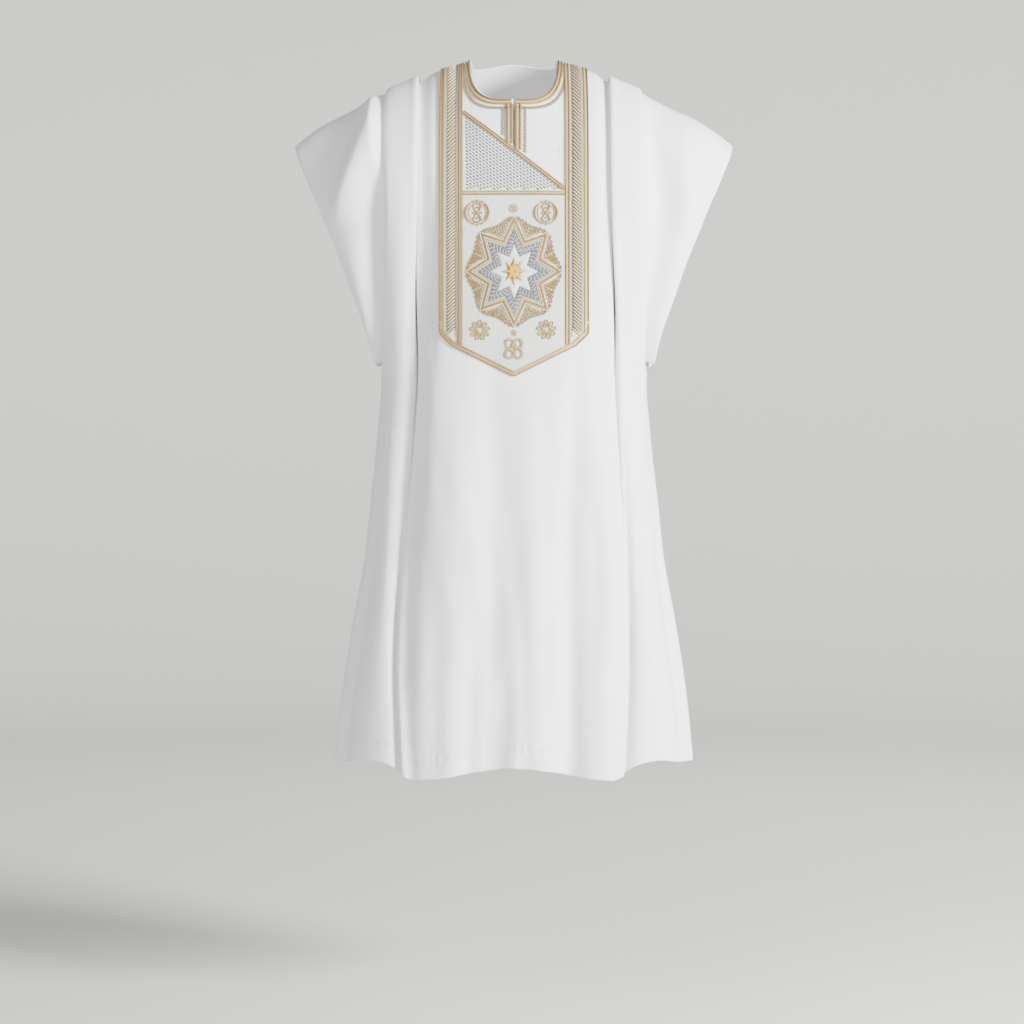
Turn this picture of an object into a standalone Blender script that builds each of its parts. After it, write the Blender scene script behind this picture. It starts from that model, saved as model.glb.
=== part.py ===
"""Grand boubou robe, hollow, as it hangs from the wearer's shoulders.

The front and back bodies are walls of cloth worked out on one hanging form: a level section that
is a flattened oval, closed over at the top by the shoulder ridge. Every point of the cloth has a
place across (x), a drop along the cloth from the ridge (s) and a lift off the form (out).
Metres, +Z up, the front faces -Y, and the origin is between the wearer's shoulders at the neck.
"""
import math
from collections import namedtuple

import bmesh
import bpy
import numpy as np
from mathutils import Vector
from mathutils.bvhtree import BVHTree

# Cloth and seams
CLOTH = 0.0016
SEAM = 0.0003
LAY = 0.00045

# Hanging form
FRONT = -1.0
BACK = 1.0
OVAL = 2.6
RIDGE_Y = 0.012
SHOULDER_DROP = 0.17
SHOULDER_LENGTH = 0.23
CLOTH_LENGTH = 1.17
ARMHOLE_END = 0.53
RIDGE_START = 0.0003

# Neck
NECK_HALF = 0.068
NECK_DEPTH = {FRONT: 0.098, BACK: 0.0158}
NECK_ROUND = 2.4
NECK_REACH = 0.36
NECK_STEPS = {FRONT: 6, BACK: 3}
SLIT_HALF = 0.0013
SLIT_END = 0.242

# Pleat
POCKET_GAP = 0.0046
POCKET_LIP = 0.0032
LIP_DEPTH = 0.0044
PLEAT_LIFT = 0.0056
LEAST_LEAN = -0.35
TURNED_EDGE = ((0.0080, 0.0), (0.0045, 0.0003), (0.0024, 0.0009), (0.0009, 0.0018), (0.0, 0.0030))
SEAM_RATIOS = (0.940, 0.968, 0.987, 0.9972, 1.0)
PLEAT_SHARES = (0.3, 0.65)
YOKE_COLUMNS = (0.0805, 0.098)
MOUTH_SHARE = 0.4
SIDE_GUESS = 0.21

# Chest panel and bands
BAND_OUTER = 0.1165
BAND_INNER = 0.0790
PANEL_THICK = 0.0010
BRAID_THICK = 0.0020
BAND_START = 0.0025
BAND_ROWS = 21
BAND_EDGE = 0.0002
BAND_PROFILE = (
    (0.0000, 0.0007), (0.0012, 0.0020), (0.0076, 0.0020), (0.0098, 0.0009), (0.0140, 0.0009),
    (0.0165, 0.0017), (0.0235, 0.0017), (0.0260, 0.0009), (0.0310, 0.0009), (0.0330, 0.0020),
    (0.0372, 0.0007),
)
BRAID_SHARES = (-0.5, -0.3, 0.3, 0.5)
BRAID_HEIGHTS = (0.45, 1.0, 1.0, 0.45)
NECK_BRAID_OFFSETS = (0.0012, 0.0030, 0.0078, 0.0096)
PIECE_GAP = 0.0006
FIELD_SHORT = 0.020
FIELD_TOP_CLEAR = 0.0070
FIELD_LEAST = 0.0025
NECK_BRAID_STEPS = {FRONT: 14, BACK: 6}
NECK_TRIALS = 400
PROBE = 0.03
SETTLE_ROUNDS = 2
BRAID_WIDTH = 0.0088
SLIT_BRAID_WIDTH = 0.0080
SLIT_BRAID_TOP = -0.0900
CORNER_Z = -0.4325
KNEE_X = 0.094
KNEE_Z = -0.4545
POINT_Z = -0.5016
BORDER_CLEAR = 0.0062
LEVEL_Z = -0.222
SLANT_SHORT = 0.011
STAR_MIDDLE = (0.0, -0.344)
STAR_REACH = (0.0745, 0.0860)
SLANT_LEFT_Z = -0.093
SLANT_RIGHT_Z = -0.216

Hang = namedtuple("Hang", "z half_width front back")
HANG = (
    Hang(-1.180, 0.286, 0.174, 0.162),
    Hang(-1.106, 0.281, 0.169, 0.157),
    Hang(-0.998, 0.270, 0.163, 0.149),
    Hang(-0.886, 0.253, 0.157, 0.142),
    Hang(-0.790, 0.237, 0.151, 0.136),
    Hang(-0.702, 0.229, 0.147, 0.131),
    Hang(-0.598, 0.218, 0.142, 0.126),
    Hang(-0.494, 0.212, 0.139, 0.123),
    Hang(-0.400, 0.230, 0.140, 0.122),
    Hang(-0.300, 0.262, 0.139, 0.123),
    Hang(-0.200, 0.305, 0.134, 0.125),
    Hang(-0.100, 0.360, 0.123, 0.116),
    Hang(0.000, 0.400, 0.106, 0.088),
    Hang(0.060, 0.400, 0.106, 0.088),
)

Ridge = namedtuple("Ridge", "x z")
RIDGE = (
    Ridge(0.000, 0.026),
    Ridge(0.040, 0.018),
    Ridge(0.068, 0.006),
    Ridge(0.122, -0.010),
    Ridge(0.151, -0.022),
    Ridge(0.203, -0.044),
    Ridge(0.300, -0.094),
)

Hem = namedtuple("Hem", "x z")
HEM = (
    Hem(0.000, -1.106),
    Hem(0.060, -1.112),
    Hem(0.130, -1.124),
    Hem(0.172, -1.120),
    Hem(0.180, -1.113),
    Hem(0.281, -1.106),
)

Pleat = namedtuple("Pleat", "s inner outer depth lean")
PLEAT = (
    Pleat(0.00, 0.151, 0.203, 0.026, 74.0),
    Pleat(0.15, 0.149, 0.200, 0.025, 66.0),
    Pleat(0.32, 0.150, 0.198, 0.024, 44.0),
    Pleat(0.44, 0.156, 0.203, 0.024, 25.0),
    Pleat(0.53, 0.160, 0.209, 0.026, 10.0),
    Pleat(0.68, 0.171, 0.211, 0.030, -10.0),
    Pleat(0.84, 0.181, 0.217, 0.030, -34.0),
    Pleat(1.00, 0.184, 0.231, 0.028, -58.0),
    Pleat(1.17, 0.173, 0.240, 0.026, -70.0),
)

Fold = namedtuple("Fold", "top_x hem_x width depth start end")
FRONT_FOLDS = (
    Fold(-0.129, -0.152, 0.013, -0.0070, 0.10, 1.00),
    Fold(0.130, 0.146, 0.012, -0.0035, 0.22, 1.10),
    Fold(-0.040, -0.046, 0.016, -0.0055, 0.56, 1.40),
    Fold(-0.006, -0.004, 0.015, 0.0040, 0.54, 1.40),
    Fold(0.078, 0.086, 0.018, -0.0055, 0.52, 1.40),
    Fold(0.036, 0.044, 0.016, 0.0030, 0.60, 1.40),
    Fold(-0.098, -0.105, 0.016, 0.0035, 0.58, 1.40),
)
BACK_FOLDS = (
    Fold(-0.128, -0.148, 0.014, -0.0060, 0.12, 1.10),
    Fold(0.126, 0.150, 0.014, -0.0065, 0.14, 1.20),
    Fold(-0.058, -0.072, 0.018, -0.0060, 0.34, 1.40),
    Fold(-0.012, -0.006, 0.018, 0.0045, 0.40, 1.40),
    Fold(0.046, 0.058, 0.018, -0.0055, 0.30, 1.40),
    Fold(0.090, 0.104, 0.016, 0.0035, 0.44, 1.40),
)
FOLDS = {FRONT: FRONT_FOLDS, BACK: BACK_FOLDS}

ROWS = (0.035, 0.07, 0.105, 0.18, 0.22, 0.27, 0.33, 0.39, 0.45, 0.505,
        ARMHOLE_END, 0.60, 0.68, 0.76, 0.84, 0.92, 1.00, 1.09, CLOTH_LENGTH)

Mouth = namedtuple("Mouth", "tau x front back z")
MOUTH = (
    Mouth(0.00, 0.350, 0.000, 0.000, -0.130),
    Mouth(0.10, 0.345, -0.020, 0.020, -0.146),
    Mouth(0.25, 0.327, -0.042, 0.040, -0.190),
    Mouth(0.45, 0.298, -0.060, 0.056, -0.255),
    Mouth(0.65, 0.268, -0.065, 0.060, -0.330),
    Mouth(0.85, 0.236, -0.053, 0.050, -0.420),
    Mouth(1.00, 0.2165, -0.026, 0.024, -0.480),
)
WING_TUCK = 0.014
WING_BELOW = 0.0054
WING_END = 0.505
WING_COLUMNS = 6

WingFold = namedtuple("WingFold", "inner_s edge_tau width depth")
WING_FOLDS = (
    WingFold(0.05, 0.22, 0.030, -0.0060),
    WingFold(0.14, 0.52, 0.035, 0.0050),
    WingFold(0.27, 0.78, 0.035, -0.0045),
)

WHITE = (0.82, 0.83, 0.85, 1.0)
CREAM = (0.80, 0.77, 0.68, 1.0)
GOLD = (0.62, 0.46, 0.22, 1.0)
SILVER = (0.45, 0.46, 0.50, 1.0)


Motif = namedtuple("Motif", "name x z reach petals notch")
MOTIFS = (
    Motif("scroll_left", -0.0560, -0.253, 0.0185, 6, 0.10),
    Motif("scroll_right", 0.0495, -0.253, 0.0175, 6, 0.10),
    Motif("flower_left", -0.0520, -0.434, 0.0160, 8, 0.28),
    Motif("flower_right", 0.0500, -0.433, 0.0155, 8, 0.28),
    Motif("rosette_top", -0.0010, -0.2465, 0.0078, 5, 0.25),
    Motif("rosette_low", 0.0000, -0.4385, 0.0055, 4, 0.25),
    Motif("knot_motif", 0.0000, -0.4625, 0.0165, 4, 0.22),
)


def column(table, name):
    """One named column of a table as an array."""
    return np.array([getattr(row, name) for row in table], dtype=float)


def look_up(table, key, name, where):
    """A table's column read at any place along its key column, straight between rows."""
    keys = column(table, key)
    values = column(table, name)
    order = np.argsort(keys)
    return np.interp(where, keys[order], values[order])


def smooth_step(low, high, where):
    """0 below low, 1 above high, with a soft change between them."""
    t = np.clip((where - low) / (high - low), 0.0, 1.0)
    return t * t * (3.0 - 2.0 * t)


def height(x, s):
    """The height of the form at a place across and a drop along the cloth."""
    top = look_up(RIDGE, "x", "z", np.abs(x))
    hem = look_up(HEM, "x", "z", np.abs(x))
    turn = np.clip(s / SHOULDER_LENGTH, 0.0, 1.0) * math.pi / 2.0
    rate = (top - SHOULDER_DROP - hem) / (CLOTH_LENGTH - SHOULDER_LENGTH)
    below = np.maximum(s - SHOULDER_LENGTH, 0.0)
    return top - SHOULDER_DROP * (1.0 - np.cos(turn)) - rate * below


def drop_at(x, z):
    """The drop along the cloth at a place across and a height: the reverse of height()."""
    top = look_up(RIDGE, "x", "z", np.abs(x))
    hem = look_up(HEM, "x", "z", np.abs(x))
    rate = (top - SHOULDER_DROP - hem) / (CLOTH_LENGTH - SHOULDER_LENGTH)
    cosine = np.clip(1.0 - (top - z) / SHOULDER_DROP, 0.0, 1.0)
    curved = np.arccos(cosine) * 2.0 / math.pi * SHOULDER_LENGTH
    straight = SHOULDER_LENGTH + (top - SHOULDER_DROP - z) / rate
    return np.where(top - z < SHOULDER_DROP, curved, straight)


def form(x, s, side):
    """A point of the hanging form: the oval |x/W|^n + |y/D|^n = 1 at that height."""
    x = np.asarray(x, dtype=float)
    s = np.asarray(s, dtype=float)
    z = height(x, s)
    half = look_up(HANG, "z", "half_width", z)
    depth = look_up(HANG, "z", "front" if side == FRONT else "back", z)
    over = np.sin(np.clip(s / SHOULDER_LENGTH, 0.0, 1.0) * math.pi / 2.0)
    across = np.clip(np.abs(x) / half, 0.0, 1.0)
    y = RIDGE_Y + side * depth * over * (1.0 - across ** OVAL) ** (1.0 / OVAL)
    return np.stack([x + 0.0 * s, y, z + 0.0 * y], axis=-1)


def facing(x, s, side):
    """The outward direction of the form, from its run along the drop and its run across."""
    x = np.asarray(x, dtype=float)
    s = np.asarray(s, dtype=float)
    z = height(x, s)
    half = look_up(HANG, "z", "half_width", z)
    depth = look_up(HANG, "z", "front" if side == FRONT else "back", z)
    over = np.sin(np.clip(s / SHOULDER_LENGTH, 0.0, 1.0) * math.pi / 2.0)
    across = np.clip(np.abs(x) / half, 0.0, 1.0)
    bulge = (1.0 - across ** OVAL) ** ((OVAL - 1.0) / OVAL)
    turn = side * np.sign(x) * depth * over * across ** (OVAL - 1.0) / half
    step = 0.002
    rise = look_up(RIDGE, "x", "z", np.abs(x + step)) - look_up(RIDGE, "x", "z", np.abs(x - step))
    slope = rise / (2.0 * step)
    run_across = np.stack([bulge, -turn, bulge * slope], axis=-1)
    wider = look_up(HANG, "z", "half_width", height(x, s + step)) / half
    narrower = look_up(HANG, "z", "half_width", height(x, np.maximum(s - step, 0.0))) / half
    run_down = form(x * wider, s + step, side) - form(x * narrower, np.maximum(s - step, 0.0), side)
    normal = np.cross(run_across, run_down)
    guide = np.stack([x / half, side * (0.02 + np.abs(bulge)), 4.0 * (1.0 - over)], axis=-1)
    normal = normal * np.where(np.sum(normal * guide, axis=-1) < 0.0, -1.0, 1.0)[..., None]
    return normal / np.maximum(np.linalg.norm(normal, axis=-1), 1e-12)[..., None]


def soft_folds(x, s, side):
    """The lift of the long soft folds: a bell across each, fading in at its start and end."""
    lift = np.zeros(np.broadcast(x, s).shape)
    for fold in FOLDS[side]:
        middle = fold.top_x + (fold.hem_x - fold.top_x) * s / CLOTH_LENGTH
        bell = np.exp(-((x - middle) / fold.width) ** 2)
        begun = smooth_step(fold.start, fold.start + 0.16, s)
        ended = smooth_step(fold.end - 0.2, fold.end, s)
        lift = lift + fold.depth * bell * begun * (1.0 - ended)
    return lift


def drop_over(depth):
    """The drop along the shoulder's quarter turn that leads to a depth below the ridge."""
    return SHOULDER_LENGTH * 2.0 / math.pi * np.arccos(np.clip(1.0 - depth / SHOULDER_DROP, 0.0, 1.0))


def neck_start(x, side):
    """The drop at which the cloth begins: a full round curve about the neck, the ridge beside it."""
    inside = np.clip(1.0 - (np.abs(x) / NECK_HALF) ** NECK_ROUND, 0.0, 1.0)
    return drop_over(NECK_DEPTH[side] * inside ** (1.0 / NECK_ROUND))


def body_rows(side):
    """The drops of the rows beside the neck, with one at the foot of the slit."""
    start = float(neck_start(0.0, FRONT))
    slit_row = (SLIT_END - start) / (1.0 - start / NECK_REACH)
    return np.array(sorted((RIDGE_START, slit_row) + ROWS)), slit_row


def row_drops(x, rows, side):
    """The drop of each row in one column: it starts at the neck edge and evens out below it."""
    start = neck_start(x, side)
    share = np.clip(1.0 - rows / NECK_REACH, 0.0, 1.0)
    return rows + start * share


def nose_depth(turned):
    """How far in the round edge of a fold lies: further out as the cloth turns back on itself."""
    return np.where(turned > 0.0, 0.0009 - 0.0021 * turned, 0.0009 - 0.0012 * turned)


def pleat_columns(s, hand):
    """The columns from the mouth of the pocket out to the pleat's turned edge: (x, out) pairs.

    The pocket is two layers a small gap apart. It leans under the pleat at the shoulder and under
    the front panel at the hem, so its points are set along (d) and across (e) its own direction.
    """
    inner = look_up(PLEAT, "s", "inner", s)
    outer = look_up(PLEAT, "s", "outer", s)
    depth = look_up(PLEAT, "s", "depth", s)
    lean = np.radians(look_up(PLEAT, "s", "lean", s))
    half_gap = POCKET_GAP / 2.0
    steps = (
        (-half_gap - POCKET_LIP, 0.0),
        (-half_gap - POCKET_LIP / 2.0, nose_depth(-np.sin(lean))),
        (-half_gap, LIP_DEPTH),
        (-half_gap, depth),
        (half_gap, depth),
        (half_gap, LIP_DEPTH),
        (half_gap + POCKET_LIP / 2.0, nose_depth(np.sin(lean))),
        (half_gap + POCKET_LIP, 0.0),
    )
    columns = []
    for across, along in steps:
        x = inner + across * np.cos(lean) + along * np.sin(lean)
        out = across * np.sin(lean) - along * np.cos(lean)
        columns.append((hand * x, out))
    lift = np.maximum(np.sin(lean), LEAST_LEAN) * PLEAT_LIFT
    start = inner + (half_gap + POCKET_LIP) * np.cos(lean)
    for share in PLEAT_SHARES:
        columns.append((hand * (start + (outer - TURNED_EDGE[0][0] - start) * share), lift))
    return columns, outer, lift


def side_width(s):
    """Half the robe's width at the side seam, found from the width at its own height."""
    half = np.full(np.shape(s), SIDE_GUESS)
    for _ in range(4):
        half = look_up(HANG, "z", "half_width", height(half, s))
    return half


def edge_points(s, outer, lift, side, hand):
    """The pleat's outer edge: rounded off beside the arm, drawn round to the side seam below it."""
    half = side_width(s)
    opened = smooth_step(WING_END, ARMHOLE_END, s)[:, None]
    points = []
    for (back_from, below), ratio in zip(TURNED_EDGE, SEAM_RATIOS):
        x = hand * (outer - back_from)
        folded = form(x, s, side) + facing(x, s, side) * (lift - below)[:, None]
        wrapped = form(hand * half * ratio, s, side)
        if ratio == 1.0:
            wrapped[:, 1] = RIDGE_Y + side * SEAM * 0.6
        points.append(folded * (1.0 - opened) + wrapped * opened)
    return points


def spine_column(rows, side):
    """The column down the middle of the back."""
    middle = np.zeros(len(rows))
    s = row_drops(middle, rows, side)
    out = soft_folds(middle, s, side)
    return form(middle, s, side) + facing(middle, s, side) * out[:, None]


def body_grid(side):
    """The middle surface of a body as rows by columns of points, from the left seam to the right."""
    rows, slit_row = body_rows(side)
    steps = NECK_STEPS[side]
    neck = NECK_HALF * np.sin(np.arange(1, steps + 1) * math.pi / 2.0 / steps)
    middle = [SLIT_HALF] if side == FRONT else []
    fixed = middle + list(neck) + list(YOKE_COLUMNS) + [BAND_OUTER]
    made = {}
    for hand in (-1.0, 1.0):
        points = []
        for x in fixed:
            s = row_drops(x, rows, side)
            place = np.full(len(rows), hand * x)
            out = soft_folds(place, s, side)
            points.append(form(place, s, side) + facing(place, s, side) * out[:, None])
        pleat, outer, lift = pleat_columns(rows, hand)
        mouth_x, mouth_out = pleat[0]
        between = (BAND_OUTER * hand + mouth_x) / 2.0
        out = soft_folds(between, rows, side) + MOUTH_SHARE * mouth_out
        points.append(form(between, rows, side) + facing(between, rows, side) * out[:, None])
        for x, out in pleat:
            points.append(form(x, rows, side) + facing(x, rows, side) * out[:, None])
        points.extend(edge_points(rows, outer, lift, side, hand))
        made[hand] = points
    spine = [] if side == FRONT else [spine_column(rows, side)]
    grid = np.stack(made[-1.0][::-1] + spine + made[1.0], axis=1)
    slit_index = int(np.argmin(np.abs(rows - slit_row)))
    return grid, slit_index


def grid_facing(grid, inner_point):
    """The direction square to a grid at each point, pointing away from the inner point."""
    down = np.gradient(grid, axis=0)
    across = np.gradient(grid, axis=1)
    normal = np.cross(down, across)
    normal = normal / np.linalg.norm(normal, axis=-1)[..., None]
    middle = (grid.shape[0] // 2, grid.shape[1] // 2)
    outward = np.dot(normal[middle], grid[middle] - np.array(inner_point))
    return normal if outward > 0.0 else -normal


def material(name, colour, roughness, metallic=0.0):
    """A plain finish with the given colour."""
    made = bpy.data.materials.get(name)
    if made is None:
        made = bpy.data.materials.new(name)
        made.use_nodes = True
        shader = made.node_tree.nodes["Principled BSDF"]
        shader.inputs["Base Color"].default_value = colour
        shader.inputs["Roughness"].default_value = roughness
        shader.inputs["Metallic"].default_value = metallic
        made.diffuse_color = colour
    return made


def closed_mesh(name, vertices, faces, finish):
    """A named object from points and faces, all faces turned outward."""
    mesh = bpy.data.meshes.new(name)
    mesh.from_pydata([tuple(v) for v in vertices], [], [tuple(int(i) for i in f) for f in faces])
    work = bmesh.new()
    work.from_mesh(mesh)
    bmesh.ops.recalc_face_normals(work, faces=work.faces)
    work.to_mesh(mesh)
    work.free()
    mesh.shade_smooth()
    mesh.set_sharp_from_angle(angle=math.radians(50.0))
    made = bpy.data.objects.new(name, mesh)
    made.data.materials.append(finish)
    bpy.context.collection.objects.link(made)


def cut_in_two(ring, vertices):
    """A four-sided face cut in two along its shorter diagonal."""
    a, b, c, d = ring
    first = np.linalg.norm(np.subtract(vertices[a], vertices[c]))
    second = np.linalg.norm(np.subtract(vertices[b], vertices[d]))
    if first <= second:
        return (a, b, c), (a, c, d)
    return (a, b, d), (b, c, d)


def closed_wall(name, top, under, mask, finish):
    """One closed body between two grids of points, with a rim round every open edge."""
    rows, columns = top.shape[:2]
    used = np.zeros((rows, columns), dtype=bool)
    for step_r in (0, 1):
        for step_c in (0, 1):
            used[step_r:rows - 1 + step_r, step_c:columns - 1 + step_c] |= mask
    index = -np.ones((rows, columns), dtype=int)
    index[used] = np.arange(int(used.sum()))
    count = int(used.sum())
    vertices = np.concatenate([top[used], under[used]])
    faces = []
    edges = {}
    for r, c in zip(*np.nonzero(mask)):
        ring = (index[r, c], index[r, c + 1], index[r + 1, c + 1], index[r + 1, c])
        for half in cut_in_two(ring, vertices):
            faces.append(half)
            faces.append(tuple(count + i for i in reversed(half)))
        for a, b in zip(ring, ring[1:] + ring[:1]):
            if (b, a) in edges:
                del edges[(b, a)]
            else:
                edges[(a, b)] = True
    for a, b in edges:
        faces.append((b, a, count + a, count + b))
    closed_mesh(name, vertices, faces, finish)


def rows_below_armhole(grid):
    """Which rows of a body reach the sewn side seam."""
    return grid[:, 0, 2] < height(SIDE_GUESS, ARMHOLE_END) + 0.002


def make_body(name, side, finish):
    """A front or back body; returns its outer grid, on which the trims are laid."""
    grid, slit_index = body_grid(side)
    normal = grid_facing(grid, (0.0, RIDGE_Y, -0.5))
    normal[0, np.abs(grid[0, :, 0]) > NECK_HALF - 0.001, 1] = 0.0
    closed = rows_below_armhole(grid)
    normal[closed, 0, 1] = 0.0
    normal[closed, -1, 1] = 0.0
    normal = normal / np.linalg.norm(normal, axis=-1)[..., None]
    mask = np.ones((grid.shape[0] - 1, grid.shape[1] - 1), dtype=bool)
    if side == FRONT:
        mask[:slit_index, grid.shape[1] // 2 - 1] = False
    outer = grid + normal * CLOTH / 2.0
    closed_wall(name, outer, grid - normal * CLOTH / 2.0, mask, finish)
    return outer, mask


def wing_half(side, hand):
    """One half of a wing as rows from the ridge down, columns from the tuck to the open edge.

    Each row runs straight from the tucked edge to the open edge, rounded outward by r*r*(1-r).
    """
    rows = body_rows(side)[0]
    s = rows[rows <= WING_END]
    tau = s / WING_END
    pleat_outer = look_up(PLEAT, "s", "outer", s)
    lean = np.radians(look_up(PLEAT, "s", "lean", s))
    below = np.maximum(np.sin(lean), LEAST_LEAN) * PLEAT_LIFT - WING_BELOW
    made = []
    for tuck_in in (WING_TUCK, 0.004):
        x = hand * (pleat_outer - tuck_in)
        made.append(form(x, s, side) + facing(x, s, side) * below[:, None])
    x = hand * (pleat_outer + 0.003)
    start = form(x, s, side) + facing(x, s, side) * below[:, None]
    y = look_up(MOUTH, "tau", "front" if side == FRONT else "back", tau)
    edge = np.stack([hand * look_up(MOUTH, "tau", "x", tau), RIDGE_Y * (1.0 - tau) + y,
                     look_up(MOUTH, "tau", "z", tau)], axis=-1)
    outward = facing(x, s, side)
    for r in np.linspace(0.0, 1.0, WING_COLUMNS):
        point = start * (1.0 - r) + edge * r
        bulge = 0.050 * r * r * (1.0 - r)
        for fold in WING_FOLDS:
            middle = fold.inner_s / WING_END + (fold.edge_tau - fold.inner_s / WING_END) * r
            reach = fold.width / WING_END * (1.0 + r)
            fade = smooth_step(0.15, 0.5, np.array(r))
            bulge = bulge + fold.depth * fade * np.exp(-((tau - middle) / reach) ** 2)
        made.append(point + outward * np.reshape(bulge, (-1, 1)))
    return np.stack(made, axis=1)


def make_wing(name, hand, finish):
    """A wing: its front half and back half meet over the shoulder ridge in one wall."""
    front = wing_half(FRONT, hand)
    back = wing_half(BACK, hand)
    ridge = (front[:1] + back[:1]) / 2.0
    grid = np.concatenate([front[:0:-1], ridge, back[1:]], axis=0)
    normal = grid_facing(grid, (hand * 0.2, RIDGE_Y, -0.4))
    mask = np.ones((grid.shape[0] - 1, grid.shape[1] - 1), dtype=bool)
    closed_wall(name, grid + normal * CLOTH / 2.0, grid - normal * CLOTH / 2.0, mask, finish)


def grid_faces(grid, mask):
    """The points of a grid and its three-sided faces, cut as closed_wall() cuts them."""
    columns = grid.shape[1]
    points = grid.reshape(-1, 3)
    faces = []
    for r, c in zip(*np.nonzero(mask)):
        corner = r * columns + c
        ring = (corner, corner + 1, corner + columns + 1, corner + columns)
        faces.extend(cut_in_two(ring, points))
    return points, faces


def carrier(parts):
    """A search tree over the outer faces of what trims are laid on: (points, faces) pairs."""
    vertices = []
    triangles = []
    for points, faces in parts:
        first = len(vertices)
        vertices.extend(Vector(v) for v in points)
        triangles.extend(tuple(first + int(i) for i in face) for face in faces)
    return BVHTree.FromPolygons(vertices, triangles)


def foot_on(tree, point, normal):
    """Where a point's own line, along the cloth's facing, meets what it is laid on."""
    hit = tree.ray_cast(Vector(point + normal * PROBE), Vector(-normal), 2.0 * PROBE)[0]
    return None if hit is None else np.array(hit)


def laid(tree, x, s, side):
    """Points on the cloth at (x, s), with the direction that the cloth faces there."""
    points = form(x, s, side).reshape(-1, 3)
    normals = facing(x, s, side).reshape(-1, 3)
    for place, (point, normal) in enumerate(zip(points, normals)):
        foot = foot_on(tree, point, normal)
        points[place] = point + normal * CLOTH / 2.0 if foot is None else foot
    return points, normals


def settled(tree, points, normals, links):
    """Points LAY above the cloth, raised where a link between two of them would touch it."""
    lift = np.full(len(points), LAY)
    for _ in range(SETTLE_ROUNDS):
        under = points + normals * lift[:, None]
        raised = lift.copy()
        for a, b in links:
            for share in (0.25, 0.5, 0.75):
                normal = normals[a] * (1.0 - share) + normals[b] * share
                normal = normal / np.linalg.norm(normal)
                probe = under[a] * (1.0 - share) + under[b] * share
                foot = foot_on(tree, probe, normal)
                if foot is not None:
                    short = LAY - np.dot(probe - foot, normal)
                    raised[a] = max(raised[a], lift[a] + short)
                    raised[b] = max(raised[b], lift[b] + short)
        lift = raised
    return points + normals * lift[:, None]


def laid_grid(name, tree, points, normals, thick, finish):
    """A plate or braid as a closed wall between its settled underside and its raised top."""
    rows, columns = thick.shape
    index = np.arange(rows * columns).reshape(rows, columns)
    pairs = ((index[1:], index[:-1]), (index[:, 1:], index[:, :-1]), (index[1:, 1:], index[:-1, :-1]))
    links = [link for first, second in pairs for link in zip(first.ravel(), second.ravel())]
    under = settled(tree, points, normals, links)
    top = under + normals * thick.reshape(-1, 1)
    mask = np.ones((rows - 1, columns - 1), dtype=bool)
    closed_wall(name, top.reshape(rows, columns, 3), under.reshape(rows, columns, 3), mask, finish)
    return top.reshape(rows, columns, 3), mask


def laid_plate(name, tree, x, s, thick, finish):
    """A plate of cloth or braid laid on the front: x, s and thick are grids of one shape."""
    points, normals = laid(tree, x, s, FRONT)
    return laid_grid(name, tree, points, normals, np.broadcast_to(thick, x.shape), finish)


def braid(name, tree, path_x, path_z, width, finish, thick=BRAID_THICK):
    """A braid along a path on the front: a strip with rounded edges, square to its path."""
    path = np.stack([path_x, path_z], axis=-1)
    run = np.gradient(path, axis=0)
    run = run / np.linalg.norm(run, axis=-1)[:, None]
    square = np.stack([-run[:, 1], run[:, 0]], axis=-1)
    shares = np.array(BRAID_SHARES)
    heights = np.array(BRAID_HEIGHTS) * thick
    spread = path[:, None, :] + square[:, None, :] * shares[None, :, None] * width
    x = spread[..., 0]
    s = drop_at(x, spread[..., 1])
    laid_plate(name, tree, x, s, heights, finish)


def even_path(points, spacing):
    """Even steps along straight runs through a few corner points, corners kept."""
    made = [np.array(points[0])]
    for start, end in zip(points, points[1:]):
        start = np.array(start)
        end = np.array(end)
        steps = max(1, int(round(np.linalg.norm(end - start) / spacing)))
        made.extend(start + (end - start) * k / steps for k in range(1, steps + 1))
    return np.array(made)


def lower_edge(x):
    """The height of the chest panel's pointed lower edge, along the middle of its border."""
    reach = np.abs(x)
    knee = POINT_Z + (KNEE_Z - POINT_Z) * reach / KNEE_X
    corner = KNEE_Z + (CORNER_Z - KNEE_Z) * (reach - KNEE_X) / (BAND_OUTER - KNEE_X)
    return np.where(reach < KNEE_X, knee, corner)


def make_band(name, tree, hand, finish):
    """A side band: double braid outside, rope stitch in the middle, single braid inside."""
    x_row = np.array([hand * (BAND_OUTER - BAND_EDGE - place) for place, rise in BAND_PROFILE])
    rise = np.array([rise for place, rise in BAND_PROFILE])
    end = drop_at(x_row, lower_edge(x_row) + BORDER_CLEAR)
    shares = np.linspace(0.0, 1.0, BAND_ROWS)[:, None]
    s = BAND_START + (end[None, :] - BAND_START) * shares
    x = np.broadcast_to(x_row, s.shape)
    laid_plate(name, tree, x, s, rise, finish)


def beside_neck(angle, offset, side):
    """A place beside the neck edge: reach (h + offset)*sin^(2/n), depth (d + offset)*cos^(2/n)."""
    power = 2.0 / NECK_ROUND
    turned = np.sin(angle)
    x = (NECK_HALF + offset) * np.sign(turned) * np.abs(turned) ** power
    s = drop_over((NECK_DEPTH[side] + offset) * np.abs(np.cos(angle)) ** power) + RIDGE_START
    return x, s


def even_turns(start, end, side):
    """Turns about the neck from start to end whose places lie evenly along the braid."""
    turns = np.linspace(start, end, NECK_TRIALS)
    x, s = beside_neck(turns, NECK_BRAID_OFFSETS[1], side)
    reached = np.linalg.norm(np.diff(form(x, s, side), axis=0), axis=-1)
    reached = np.concatenate([[0.0], np.cumsum(reached)])
    steps = NECK_BRAID_STEPS[side] + 1
    return np.interp(np.linspace(0.0, reached[-1], steps), reached, turns)


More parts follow.
